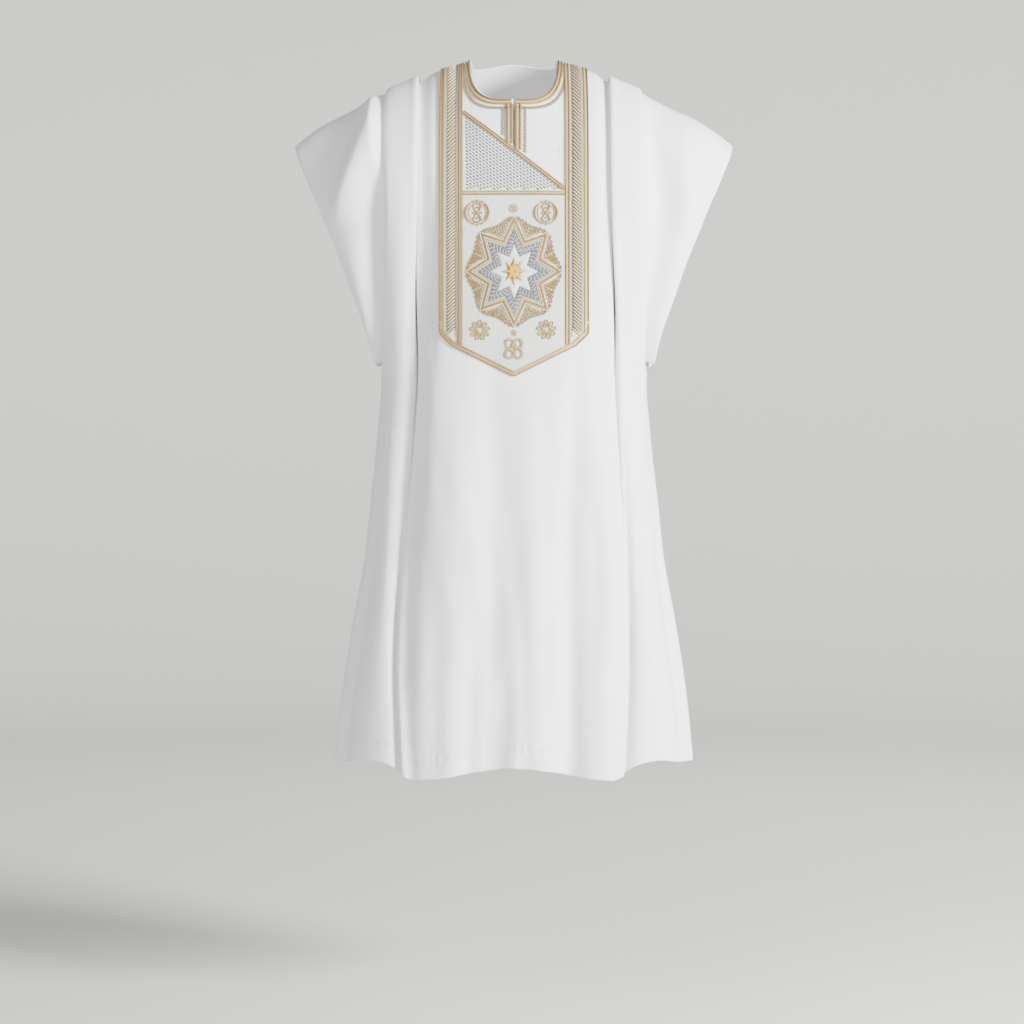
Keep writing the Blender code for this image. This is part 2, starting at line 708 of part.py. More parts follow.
def make_neck_braid(name, tree, finish):
    """The braid round the neck: the neck's own curve, just outside its edge, open at the slit."""
    power = 2.0 / NECK_ROUND
    start_angle = math.asin(((SLIT_HALF + NECK_BRAID_OFFSETS[0]) / NECK_HALF) ** (1.0 / power))
    front = even_turns(start_angle, math.pi / 2.0, FRONT)
    back = even_turns(math.pi / 2.0, math.pi, BACK)
    half_turn = np.concatenate([front, back[1:]])
    sweep = np.concatenate([half_turn, 2.0 * math.pi - half_turn[-2::-1]])
    offsets = np.array(NECK_BRAID_OFFSETS)
    heights = np.array(BRAID_HEIGHTS) * BRAID_THICK
    points = []
    normals = []
    for angle in sweep:
        side = FRONT if math.cos(angle) > 0.0 else BACK
        x, s = beside_neck(angle, offsets, side)
        place, normal = laid(tree, x, s, side)
        points.append(place)
        normals.append(normal)
    thick = np.broadcast_to(heights, (len(sweep), len(offsets)))
    laid_grid(name, tree, np.concatenate(points), np.concatenate(normals), thick, finish)


def make_chest_panel(name, tree, finish):
    """The panel between the level braid and the pointed border."""
    half = BAND_INNER - PIECE_GAP
    x_row = np.linspace(-half, half, 11)
    top = LEVEL_Z - BRAID_WIDTH / 2.0 - PIECE_GAP
    foot = lower_edge(x_row) + BORDER_CLEAR
    shares = np.linspace(0.0, 1.0, 11)[:, None]
    z = top + (foot[None, :] - top) * shares
    x = np.broadcast_to(x_row, z.shape)
    return laid_plate(name, tree, x, drop_at(x, z), PANEL_THICK, finish)


def slant_z(x):
    """The height of the slanted mouth of the panel."""
    share = (x + BAND_INNER) / (2.0 * BAND_INNER)
    return SLANT_LEFT_Z + (SLANT_RIGHT_Z - SLANT_LEFT_Z) * share


def make_stitched_field(name, tree, finish):
    """The three-cornered field between the slanted braid and the level braid."""
    left = -BAND_INNER + PIECE_GAP
    right = BAND_INNER - FIELD_SHORT
    x_row = np.linspace(left, right, 10)
    foot = LEVEL_Z + BRAID_WIDTH / 2.0 + PIECE_GAP
    top = slant_z(x_row) - FIELD_TOP_CLEAR
    top = np.maximum(top, foot + FIELD_LEAST)
    shares = np.linspace(0.0, 1.0, 6)[:, None]
    z = top[None, :] + (foot - top[None, :]) * shares
    x = np.broadcast_to(x_row, z.shape)
    laid_plate(name, tree, x, drop_at(x, z), PANEL_THICK, finish)


def make_round(name, tree, middle, reach, rise, finish):
    """A raised motif on the panel: a fan and one ring of faces from its middle to its outline."""
    count = len(reach)
    x = [np.array([middle[0]])]
    z = [np.array([middle[1]])]
    for share in (0.5, 1.0):
        x.append(middle[0] + reach[:, 0] * share)
        z.append(middle[1] + reach[:, 1] * share)
    x = np.concatenate(x)
    s = drop_at(x, np.concatenate(z))
    points, normals = laid(tree, x, s, FRONT)
    inner = 1 + np.arange(count)
    after = 1 + (np.arange(count) + 1) % count
    links = [(0, k) for k in inner] + list(zip(inner, inner + count))
    links += list(zip(inner, after)) + list(zip(inner + count, after + count))
    links += list(zip(inner, after + count))
    under = settled(tree, points, normals, links)
    height_up = np.concatenate([np.full(1 + count, rise), np.full(count, rise * 0.6)])
    top = under + normals * height_up[:, None]
    size = len(top)
    faces = []
    for k, n in zip(inner, after):
        upper = [(0, k, n), (k, k + count, n + count), (k, n + count, n)]
        faces.extend(upper)
        faces.extend(tuple(size + i for i in reversed(face)) for face in upper)
        faces.append((k + count, size + k + count, size + n + count, n + count))
    closed_mesh(name, np.concatenate([top, under]), faces, finish)
    upper = [face for face in faces if max(face) < size]
    return top, upper


def star_outline(points, reach_x, reach_z, notch):
    """A star's outline: full reach at each point, a share of it in each notch between them."""
    angles = np.arange(2 * points) * math.pi / points
    share = np.where(np.arange(2 * points) % 2 == 0, 1.0, notch)
    return np.stack([reach_x * np.sin(angles) * share, reach_z * np.cos(angles) * share], axis=-1)


def petal_outline(petals, reach, depth):
    """A round outline of petals: r = 1 - depth for each notch and 1 for each petal's end."""
    return star_outline(petals, reach, reach, 1.0 - depth)


def star_ground_outline():
    """The worked ground round the star: full reach at its eight points, scalloped between them."""
    count = 32
    angles = np.arange(count) * 2.0 * math.pi / count
    share = 0.90 + 0.10 * np.cos(angles * 8.0)
    across = STAR_REACH[0] * np.sin(angles) * share
    upward = STAR_REACH[1] * np.cos(angles) * share
    return np.stack([across, upward], axis=-1)


def make_braids(cloth, finish):
    """The braids beside the slit, the slanted and level braids, and the pointed lower border."""
    for name, hand in (("slit_braid_left", -1.0), ("slit_braid_right", 1.0)):
        middle = hand * (SLIT_HALF + SLIT_BRAID_WIDTH / 2.0 + 0.0008)
        foot = float(slant_z(middle - SLIT_BRAID_WIDTH / 2.0)) + 0.0085
        route = even_path(((middle, SLIT_BRAID_TOP), (middle, foot)), 0.012)
        braid(name, cloth, route[:, 0], route[:, 1], SLIT_BRAID_WIDTH, finish)
    edge = BAND_INNER - PIECE_GAP
    route = even_path(((-edge, LEVEL_Z), (edge, LEVEL_Z)), 0.014)
    braid("level_braid", cloth, route[:, 0], route[:, 1], BRAID_WIDTH, finish)
    start = -edge + 0.0035
    end = edge - SLANT_SHORT
    route = even_path(((start, float(slant_z(start))), (end, float(slant_z(end)))), 0.014)
    braid("slanted_braid", cloth, route[:, 0], route[:, 1], BRAID_WIDTH, finish)
    corners = (-BAND_OUTER, -KNEE_X, 0.0, KNEE_X, BAND_OUTER)
    route = even_path([(x, float(lower_edge(x))) for x in corners], 0.014)
    braid("point_border", cloth, route[:, 0], route[:, 1], BRAID_WIDTH, finish)


def make_motifs(panel, gold, silver):
    """The raised embroidery on the chest panel: the star in three layers, and the small motifs."""
    ground = carrier([grid_faces(*panel)])
    base = make_round("star_ground", ground, STAR_MIDDLE, star_ground_outline(), 0.0008, gold)
    outer = star_outline(8, STAR_REACH[0] * 0.96, STAR_REACH[1] * 0.96, 0.56)
    star = make_round("star_outer", carrier([base]), STAR_MIDDLE, outer, 0.0009, gold)
    inner = star_outline(8, STAR_REACH[0] * 0.66, STAR_REACH[1] * 0.68, 0.50)
    make_round("star_inner", carrier([star]), STAR_MIDDLE, inner, 0.0008, silver)
    for motif in MOTIFS:
        outline = petal_outline(motif.petals, motif.reach, motif.notch)
        make_round(motif.name, ground, (motif.x, motif.z), outline, 0.0012, gold)


def clear_scene():
    """An empty scene to model in."""
    for old in list(bpy.data.objects):
        bpy.data.objects.remove(old, do_unlink=True)


def main():
    """Make every piece of the robe."""
    clear_scene()
    white = material("white_cloth", WHITE, 0.75)
    cream = material("cream_ground", CREAM, 0.70)
    gold = material("gold_braid", GOLD, 0.45, 0.25)
    silver = material("silver_stitch", SILVER, 0.50, 0.20)

    front = make_body("front_body", FRONT, white)
    back = make_body("back_body", BACK, white)
    make_wing("sleeve_left", -1.0, white)
    make_wing("sleeve_right", 1.0, white)
    cloth = carrier([grid_faces(*front), grid_faces(*back)])

    make_band("band_left", cloth, -1.0, cream)
    make_band("band_right", cloth, 1.0, cream)
    make_neck_braid("neck_braid", cloth, gold)
    make_braids(cloth, gold)
    make_stitched_field("stitched_field", cloth, silver)
    panel = make_chest_panel("chest_panel", cloth, cream)
    make_motifs(panel, gold, silver)


if __name__ == "__main__":
    main()
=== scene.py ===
"""Grand boubou robe: folded white cloth, with gold, cream and silver embroidery on its chest.

Every point of the cloth has a place across (x), a drop along the cloth from the shoulder ridge (s)
and a lift off the hanging form, as the robe's solids have. Metres, +Z up, the front faces -Y.
"""
import math
from collections import namedtuple

import bpy
import numpy as np
from bpy.props import FloatProperty, FloatVectorProperty, PointerProperty
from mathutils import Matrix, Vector


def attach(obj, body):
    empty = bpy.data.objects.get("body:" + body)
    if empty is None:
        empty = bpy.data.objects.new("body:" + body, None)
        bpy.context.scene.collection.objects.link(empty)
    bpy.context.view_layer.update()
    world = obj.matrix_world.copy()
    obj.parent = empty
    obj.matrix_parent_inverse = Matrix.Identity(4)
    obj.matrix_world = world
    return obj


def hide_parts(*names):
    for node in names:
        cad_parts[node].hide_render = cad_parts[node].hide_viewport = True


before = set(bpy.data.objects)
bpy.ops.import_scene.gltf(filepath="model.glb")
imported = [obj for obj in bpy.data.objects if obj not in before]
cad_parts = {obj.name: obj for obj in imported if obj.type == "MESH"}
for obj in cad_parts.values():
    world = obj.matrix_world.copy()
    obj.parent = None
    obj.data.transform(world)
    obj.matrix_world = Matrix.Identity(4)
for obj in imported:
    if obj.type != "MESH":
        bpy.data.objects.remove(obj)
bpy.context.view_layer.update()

bl_info = {
    "name": "Grand Boubou Robe",
    "version": (1, 0, 0),
    "blender": (4, 5, 0),
    "location": "View3D > Sidebar > Boubou",
    "description": "Folded cloth and raised embroidery for a hanging grand boubou robe",
    "category": "Object",
}

CAMERA_X = -0.003

# Hanging form, as the solids have it
FRONT = -1.0
BACK = 1.0
OVAL = 2.6
RIDGE_Y = 0.012
BODY_MIDDLE = (0.0, RIDGE_Y, -0.5)
SHOULDER_DROP = 0.17
SHOULDER_LENGTH = 0.23
CLOTH_LENGTH = 1.17
ARMHOLE_END = 0.53
RIDGE_START = 0.0003
CLOTH = 0.0016
SEAM = 0.0003
NECK_HALF = 0.068
NECK_DEPTH = {FRONT: 0.098, BACK: 0.0158}
NECK_ROUND = 2.4
NECK_REACH = 0.36
SLIT_HALF = 0.0013
SLIT_END = 0.242

# Pleats and wings
POCKET_GAP = 0.0046
POCKET_LIP = 0.0032
LIP_DEPTH = 0.0044
PLEAT_LIFT = 0.0056
WING_TUCK = 0.014
WING_BELOW = 0.0054
WING_END = 0.505

# Embroidery on the chest
BAND_OUTER = 0.1165
BAND_INNER = 0.0790
BAND_START = 0.0030
CORNER_Z = -0.4325
KNEE_X = 0.094
KNEE_Z = -0.4545
POINT_Z = -0.5016
LEVEL_Z = -0.222
SLANT_LEFT_Z = -0.093
SLANT_RIGHT_Z = -0.216
SLIT_BRAID_TOP = -0.0815
STAR_MIDDLE = (0.0, -0.344)
STAR_REACH = (0.0745, 0.0860)

Hang = namedtuple("Hang", "z half_width front back")
HANG = (
    Hang(-1.180, 0.286, 0.174, 0.162),
    Hang(-1.106, 0.281, 0.169, 0.157),
    Hang(-0.998, 0.270, 0.163, 0.149),
    Hang(-0.886, 0.253, 0.157, 0.142),
    Hang(-0.790, 0.237, 0.151, 0.136),
    Hang(-0.702, 0.229, 0.147, 0.131),
    Hang(-0.598, 0.218, 0.142, 0.126),
    Hang(-0.494, 0.212, 0.139, 0.123),
    Hang(-0.400, 0.230, 0.140, 0.122),
    Hang(-0.300, 0.262, 0.139, 0.123),
    Hang(-0.200, 0.305, 0.134, 0.125),
    Hang(-0.100, 0.360, 0.123, 0.116),
    Hang(0.000, 0.400, 0.106, 0.088),
    Hang(0.060, 0.400, 0.106, 0.088),
)

Ridge = namedtuple("Ridge", "x z")
RIDGE = (
    Ridge(0.000, 0.026),
    Ridge(0.040, 0.018),
    Ridge(0.068, 0.006),
    Ridge(0.122, -0.010),
    Ridge(0.151, -0.022),
    Ridge(0.203, -0.044),
    Ridge(0.300, -0.094),
)

Hem = namedtuple("Hem", "x z")
HEM = (
    Hem(0.000, -1.106),
    Hem(0.060, -1.112),
    Hem(0.130, -1.124),
    Hem(0.172, -1.120),
    Hem(0.180, -1.113),
    Hem(0.281, -1.106),
)

Pleat = namedtuple("Pleat", "s inner outer depth lean")
PLEAT = (
    Pleat(0.00, 0.151, 0.203, 0.026, 74.0),
    Pleat(0.15, 0.149, 0.200, 0.025, 66.0),
    Pleat(0.32, 0.150, 0.198, 0.024, 44.0),
    Pleat(0.44, 0.156, 0.203, 0.024, 25.0),
    Pleat(0.53, 0.160, 0.209, 0.026, 10.0),
    Pleat(0.68, 0.171, 0.211, 0.030, -10.0),
    Pleat(0.84, 0.181, 0.217, 0.030, -34.0),
    Pleat(1.00, 0.184, 0.231, 0.028, -58.0),
    Pleat(1.17, 0.173, 0.240, 0.026, -70.0),
)

Mouth = namedtuple("Mouth", "tau x front back z")
MOUTH = (
    Mouth(0.00, 0.350, 0.000, 0.000, -0.130),
    Mouth(0.10, 0.345, -0.020, 0.020, -0.146),
    Mouth(0.25, 0.327, -0.042, 0.040, -0.190),
    Mouth(0.45, 0.298, -0.060, 0.056, -0.255),
    Mouth(0.65, 0.268, -0.065, 0.060, -0.330),
    Mouth(0.85, 0.236, -0.053, 0.050, -0.420),
    Mouth(1.00, 0.2165, -0.026, 0.024, -0.480),
)

# Creases: at each drop s, the place across, the reach to each side and the lift (minus is a trough)
Crease = namedtuple("Crease", "s x left right lift")
FRONT_CREASES = (
    (Crease(0.20, -0.146, 0.012, 0.012, 0.0), Crease(0.36, -0.150, 0.016, 0.016, -0.0070),
     Crease(0.52, -0.156, 0.022, 0.022, -0.0145), Crease(0.68, -0.167, 0.024, 0.027, -0.0180),
     Crease(0.84, -0.176, 0.024, 0.026, -0.0165), Crease(1.00, -0.180, 0.022, 0.023, -0.0125),
     Crease(1.17, -0.169, 0.022, 0.020, -0.0080)),
    (Crease(0.50, 0.156, 0.006, 0.020, 0.0), Crease(0.64, 0.165, 0.008, 0.020, -0.0060),
     Crease(0.80, 0.176, 0.010, 0.020, -0.0140), Crease(0.98, 0.181, 0.012, 0.020, -0.0200),
     Crease(1.17, 0.170, 0.013, 0.020, -0.0180)),
    (Crease(0.50, -0.040, 0.020, 0.022, 0.0), Crease(0.62, -0.034, 0.022, 0.024, -0.0055),
     Crease(0.80, -0.028, 0.022, 0.026, -0.0065), Crease(1.00, -0.032, 0.020, 0.026, -0.0060),
     Crease(1.17, -0.040, 0.020, 0.030, -0.0070)),
    (Crease(0.58, -0.088, 0.022, 0.026, 0.0), Crease(0.74, -0.086, 0.026, 0.028, 0.0045),
     Crease(0.95, -0.094, 0.026, 0.030, 0.0065), Crease(1.17, -0.100, 0.026, 0.030, 0.0060)),
    (Crease(0.50, 0.100, 0.014, 0.020, 0.0), Crease(0.64, 0.094, 0.016, 0.020, -0.0050),
     Crease(0.82, 0.087, 0.018, 0.020, -0.0100), Crease(1.00, 0.088, 0.018, 0.020, -0.0125),
     Crease(1.17, 0.084, 0.022, 0.022, -0.0130)),
    (Crease(0.56, 0.024, 0.020, 0.020, 0.0), Crease(0.72, 0.026, 0.020, 0.022, 0.0035),
     Crease(0.92, 0.034, 0.024, 0.024, 0.0055), Crease(1.17, 0.036, 0.026, 0.022, 0.0065)),
    (Crease(0.44, 0.136, 0.012, 0.010, 0.0), Crease(0.58, 0.138, 0.013, 0.010, -0.0030),
     Crease(0.78, 0.143, 0.014, 0.014, 0.0040), Crease(0.98, 0.143, 0.018, 0.016, 0.0060),
     Crease(1.17, 0.136, 0.022, 0.016, 0.0050)),
    (Crease(0.24, -0.1275, 0.008, 0.006, 0.0), Crease(0.34, -0.1265, 0.008, 0.005, -0.0028),
     Crease(0.46, -0.1260, 0.009, 0.006, -0.0034), Crease(0.56, -0.124, 0.010, 0.008, 0.0)),
    (Crease(0.86, -0.066, 0.012, 0.012, 0.0), Crease(1.00, -0.064, 0.013, 0.013, -0.0028),
     Crease(1.17, -0.068, 0.014, 0.014, -0.0052)),
    (Crease(0.90, 0.004, 0.012, 0.012, 0.0), Crease(1.04, 0.002, 0.012, 0.012, 0.0026),
     Crease(1.17, 0.001, 0.014, 0.013, 0.0046)),
)
BACK_CREASES = (
    (Crease(0.10, -0.132, 0.012, 0.012, 0.0), Crease(0.30, -0.130, 0.016, 0.014, -0.0050),
     Crease(0.55, -0.138, 0.020, 0.016, -0.0105), Crease(0.85, -0.150, 0.022, 0.022, -0.0110),
     Crease(1.17, -0.148, 0.022, 0.026, -0.0050)),
    (Crease(0.12, 0.128, 0.012, 0.012, 0.0), Crease(0.34, 0.131, 0.014, 0.016, -0.0055),
     Crease(0.60, 0.141, 0.016, 0.020, -0.0110), Crease(0.90, 0.150, 0.022, 0.022, -0.0095),
     Crease(1.17, 0.150, 0.024, 0.022, -0.0060)),
    (Crease(0.26, -0.056, 0.020, 0.020, 0.0), Crease(0.48, -0.060, 0.022, 0.022, -0.0055),
     Crease(0.80, -0.068, 0.024, 0.026, -0.0090), Crease(1.17, -0.072, 0.024, 0.028, -0.0095)),
    (Crease(0.34, -0.010, 0.022, 0.020, 0.0), Crease(0.62, -0.012, 0.024, 0.024, 0.0050),
     Crease(0.92, -0.006, 0.026, 0.026, 0.0070), Crease(1.17, -0.004, 0.028, 0.026, 0.0080)),
    (Crease(0.24, 0.046, 0.020, 0.022, 0.0), Crease(0.50, 0.050, 0.020, 0.022, -0.0060),
     Crease(0.86, 0.056, 0.024, 0.024, -0.0095), Crease(1.17, 0.060, 0.026, 0.026, -0.0090)),
    (Crease(0.42, 0.096, 0.018, 0.018, 0.0), Crease(0.72, 0.100, 0.020, 0.020, 0.0050),
     Crease(1.17, 0.108, 0.024, 0.022, 0.0070)),
    (Crease(0.46, -0.104, 0.018, 0.018, 0.0), Crease(0.80, -0.110, 0.020, 0.020, 0.0052),
     Crease(1.17, -0.114, 0.022, 0.022, 0.0060)),
    (Crease(0.88, 0.022, 0.010, 0.012, 0.0), Crease(1.17, 0.024, 0.012, 0.014, -0.0040)),
)
CREASES = {FRONT: FRONT_CREASES, BACK: BACK_CREASES}

# Creases of the wings: at each height z, the distance out from the middle of the robe
WingCrease = namedtuple("WingCrease", "z reach inner outer lift")
WING_CREASES = {
    (FRONT, -1.0): (
        (WingCrease(-0.040, 0.212, 0.030, 0.020, 0.0000), WingCrease(-0.075, 0.214, 0.030, 0.022, 0.0159),
         WingCrease(-0.110, 0.221, 0.034, 0.021, 0.0217), WingCrease(-0.170, 0.243, 0.036, 0.020, 0.0217),
         WingCrease(-0.222, 0.264, 0.032, 0.017, 0.0152), WingCrease(-0.270, 0.277, 0.026, 0.014, 0.0000)),
        (WingCrease(-0.150, 0.212, 0.010, 0.016, 0.0000), WingCrease(-0.240, 0.214, 0.012, 0.018, -0.0072),
         WingCrease(-0.340, 0.213, 0.012, 0.018, -0.0087), WingCrease(-0.430, 0.210, 0.010, 0.012, 0.0000)),
    ),
    (FRONT, 1.0): (
        (WingCrease(-0.060, 0.208, 0.012, 0.020, 0.0000), WingCrease(-0.130, 0.210, 0.014, 0.022, -0.0087),
         WingCrease(-0.240, 0.230, 0.018, 0.024, -0.0116), WingCrease(-0.330, 0.224, 0.016, 0.020, -0.0080),
         WingCrease(-0.430, 0.212, 0.012, 0.014, 0.0000)),
        (WingCrease(-0.080, 0.262, 0.024, 0.026, 0.0000), WingCrease(-0.150, 0.268, 0.026, 0.026, 0.0094),
         WingCrease(-0.230, 0.272, 0.024, 0.020, 0.0072), WingCrease(-0.290, 0.272, 0.020, 0.016, 0.0000)),
    ),
    (BACK, -1.0): (
        (WingCrease(-0.050, 0.214, 0.026, 0.022, 0.0000), WingCrease(-0.120, 0.226, 0.030, 0.022, 0.0145),
         WingCrease(-0.200, 0.250, 0.030, 0.020, 0.0130), WingCrease(-0.280, 0.266, 0.024, 0.016, 0.0000)),
        (WingCrease(-0.180, 0.214, 0.012, 0.018, 0.0000), WingCrease(-0.300, 0.222, 0.014, 0.018, -0.0094),
         WingCrease(-0.430, 0.214, 0.012, 0.012, 0.0000)),
    ),
    (BACK, 1.0): (
        (WingCrease(-0.040, 0.216, 0.024, 0.022, 0.0000), WingCrease(-0.130, 0.232, 0.028, 0.022, 0.0123),
         WingCrease(-0.220, 0.254, 0.028, 0.020, 0.0101), WingCrease(-0.300, 0.262, 0.022, 0.016, 0.0000)),
        (WingCrease(-0.160, 0.212, 0.012, 0.018, 0.0000), WingCrease(-0.290, 0.219, 0.014, 0.020, -0.0101),
         WingCrease(-0.420, 0.212, 0.012, 0.012, 0.0000)),
    ),
}


# ---------------------------------------------------------------- sizes and colours

def length_size(name, description, default, low, high):
    """A length for the panel, in metres."""
    return FloatProperty(name=name, description=description, default=default, min=low, max=high,
                         unit="LENGTH", precision=4)


def number_size(name, description, default, low, high, unit="NONE"):
    """A number for the panel: a power, a strength or a share."""
    return FloatProperty(name=name, description=description, default=default, min=low, max=high, unit=unit)


def colour_size(name, description, *default):
    """A colour for the panel."""
    return FloatVectorProperty(name=name, description=description, default=default, size=3,
                               subtype="COLOR", min=0.0, max=1.0)


class BoubouClothSizes(bpy.types.PropertyGroup):
    """Sizes and colour of the cloth."""
    wall: length_size("Wall", "Thickness of the sewn cloth", 0.0011, 0.0004, 0.002)
    fold_share: number_size("Fold depth", "Share of each crease's full depth", 1.0, 0.0, 1.5)
    hem_height: length_size("Hem", "Height of the hem's stitch line above the edge", 0.030, 0.01, 0.05)
    weave_pitch: length_size("Weave", "Distance between the threads of the weave", 0.0007, 0.0003, 0.003)
    colour: colour_size("Cloth", "Colour of the white cloth", 0.86, 0.865, 0.88)


class BoubouThreadSizes(bpy.types.PropertyGroup):
    """Sizes and colours of the embroidery."""
    stitch: length_size("Stitch", "Radius of a fine stitch", 0.00042, 0.0002, 0.001)
    twist: length_size("Twist", "Length of one turn of a twisted cord", 0.0056, 0.002, 0.02)
    gold: colour_size("Gold", "Colour of the gold thread", 0.44, 0.30, 0.085)
    ochre: colour_size("Ochre", "Colour of the darker gold thread", 0.27, 0.165, 0.035)
    core: colour_size("Core", "Colour of the star's middle", 0.72, 0.42, 0.03)
    cream: colour_size("Cream", "Colour of the cream thread", 0.74, 0.68, 0.54)
    silver: colour_size("Silver", "Colour of the silver-grey thread", 0.17, 0.18, 0.225)
    panel: colour_size("Panel", "Colour of the chest panel's ground", 0.66, 0.66, 0.63)


class BoubouStageSizes(bpy.types.PropertyGroup):
    """Camera, light and ground."""
    lens: number_size("Lens", "Focal length of the camera", 77.0, 20.0, 200.0, "CAMERA")
    distance: length_size("Distance", "Camera to the middle of the robe", 3.5, 1.0, 10.0)
    eye_height: length_size("Eye height", "Height of the camera", -0.714, -2.0, 1.0)
    key: number_size("Key light", "Power of the light from the right", 640.0, 0.0, 2000.0, "POWER")
    fill: number_size("Fill light", "Power of the light from the left", 62.0, 0.0, 1000.0, "POWER")
    wall: number_size("Wall lights", "Power of each light on the wall", 90.0, 0.0, 1000.0, "POWER")
    room: number_size("Room light", "Strength of the light all round", 0.22, 0.0, 3.0)
    ground: colour_size("Ground", "Colour of the floor and wall", 0.72, 0.735, 0.70)


# ---------------------------------------------------------------- paths

def unit(vectors):
    """The same directions, one metre long."""
    return vectors / np.maximum(np.linalg.norm(vectors, axis=-1), 1e-12)[..., None]


def lengths(paths):
    """The length of each path up to each of its points; a path runs down the last axis but one."""
    step = np.linalg.norm(np.diff(paths, axis=-2), axis=-1)
    return np.concatenate([np.zeros((*step.shape[:-1], 1)), np.cumsum(step, axis=-1)], axis=-1)


def read_along(places, length, values):
    """Points read at places along one path of known lengths."""
    return np.stack([np.interp(places, length, values[:, k]) for k in range(values.shape[1])], axis=-1)


# ---------------------------------------------------------------- the hanging form

def smooth_step(low, high, where):
    """0 below low, 1 above high, with a soft change between them."""
    t = np.clip((where - low) / (high - low), 0.0, 1.0)
    return t * t * (3.0 - 2.0 * t)


def look_up(table, key, name, where):
    """A table's column read along its key column, on a smooth cubic curve through its rows.

    The slope at each row is the mean slope round it, and 0 where a mirrored table starts at x = 0.
    """
    keys = np.array([getattr(row, key) for row in table], dtype=float)
    values = np.array([getattr(row, name) for row in table], dtype=float)
    order = np.argsort(keys)
    keys = keys[order]
    values = values[order]
    slopes = np.gradient(values, keys) if len(keys) > 2 else np.zeros(len(keys))
    if key == "x" and keys[0] == 0.0:
        slopes[0] = 0.0
    where = np.clip(np.asarray(where, dtype=float), keys[0], keys[-1])
    i = np.clip(np.searchsorted(keys, where, side="right") - 1, 0, len(keys) - 2)
    span = keys[i + 1] - keys[i]
    t = (where - keys[i]) / span
    from_start = values[i] * (1.0 + 2.0 * t) * (1.0 - t) ** 2 + span * slopes[i] * t * (1.0 - t) ** 2
    from_end = values[i + 1] * t ** 2 * (3.0 - 2.0 * t) + span * slopes[i + 1] * t ** 2 * (t - 1.0)
    return from_start + from_end


def top_and_rate(x):
    """The ridge's height at a place across, and the straight cloth's fall for each metre of drop."""
    top = look_up(RIDGE, "x", "z", np.abs(x))
    hem = look_up(HEM, "x", "z", np.abs(x))
    return top, (top - SHOULDER_DROP - hem) / (CLOTH_LENGTH - SHOULDER_LENGTH)


def height(x, s):
    """The height of the form: a quarter turn over the shoulder, then straight down to the hem."""
    top, rate = top_and_rate(x)
    turn = np.clip(s / SHOULDER_LENGTH, 0.0, 1.0) * math.pi / 2.0
    below = np.maximum(s - SHOULDER_LENGTH, 0.0)
    return top - SHOULDER_DROP * (1.0 - np.cos(turn)) - rate * below


def drop_at(x, z):
    """The drop along the cloth at a place across and a height: the reverse of height()."""
    top, rate = top_and_rate(x)
    cosine = np.clip(1.0 - (top - z) / SHOULDER_DROP, 0.0, 1.0)
    curved = np.arccos(cosine) * 2.0 / math.pi * SHOULDER_LENGTH
    straight = SHOULDER_LENGTH + (top - SHOULDER_DROP - z) / rate
    return np.where(top - z < SHOULDER_DROP, curved, straight)


def oval_at(x, s, side):
    """The oval at a place: its height, half width and depth, the share turned over the shoulder
    and the share across."""
    z = height(x, s)
    half = look_up(HANG, "z", "half_width", z)
    depth = look_up(HANG, "z", "front" if side == FRONT else "back", z)
    over = np.sin(np.clip(s / SHOULDER_LENGTH, 0.0, 1.0) * math.pi / 2.0)
    return z, half, depth, over, np.clip(np.abs(x) / half, 0.0, 1.0)


def form(x, s, side):
    """A point of the hanging form: the oval |x/W|^n + |y/D|^n = 1 at that height."""
    x, s = np.broadcast_arrays(np.asarray(x, dtype=float), np.asarray(s, dtype=float))
    z, _, depth, over, across = oval_at(x, s, side)
    y = RIDGE_Y + side * depth * over * (1.0 - across ** OVAL) ** (1.0 / OVAL)
    return np.stack([x, y, z], axis=-1)


def facing(x, s, side):
    """The outward direction of the form: square to its run across and its run down."""
    x, s = np.broadcast_arrays(np.asarray(x, dtype=float), np.asarray(s, dtype=float))
    _, half, depth, over, across = oval_at(x, s, side)
    bulge = (1.0 - across ** OVAL) ** ((OVAL - 1.0) / OVAL)
    turn = side * np.sign(x) * depth * over * across ** (OVAL - 1.0) / half
    step = 0.002
    slope = height(x + step, s) - height(x - step, s)
    run_across = np.stack([bulge, -turn, bulge * slope / (2.0 * step)], axis=-1)
    above = np.maximum(s - step, 0.0)
    wider = look_up(HANG, "z", "half_width", height(x, s + step)) / half
    narrower = look_up(HANG, "z", "half_width", height(x, above)) / half
    run_down = form(x * wider, s + step, side) - form(x * narrower, above, side)
    normal = np.cross(run_across, run_down)
    guide = np.stack([x / half, side * (0.02 + bulge), 4.0 * (1.0 - over)], axis=-1)
    normal = normal * np.where(np.sum(normal * guide, axis=-1) < 0.0, -1.0, 1.0)[..., None]
    return unit(normal)


def skewed_bell(distance, left, right):
    """A soft rise across a crease: exp(-(d/reach)^2), with its own reach on each side."""
    reach = np.where(distance < 0.0, left, right)
    return np.exp(-(distance / reach) ** 2)


def creased(x, s, side):
    """The lift of the long creases at each point, each one uneven along its own line."""
    x, s = np.broadcast_arrays(np.asarray(x, dtype=float), np.asarray(s, dtype=float))
    lift = np.zeros(x.shape)
    for line in CREASES[side]:
        middle = look_up(line, "s", "x", s)
        bell = skewed_bell(x - middle, look_up(line, "s", "left", s), look_up(line, "s", "right", s))
        rise = np.interp(s, [row.s for row in line], [row.lift for row in line])
        lift = lift + bell * rise * (s > line[0].s)
    return lift * bpy.context.scene.boubou_cloth.fold_share


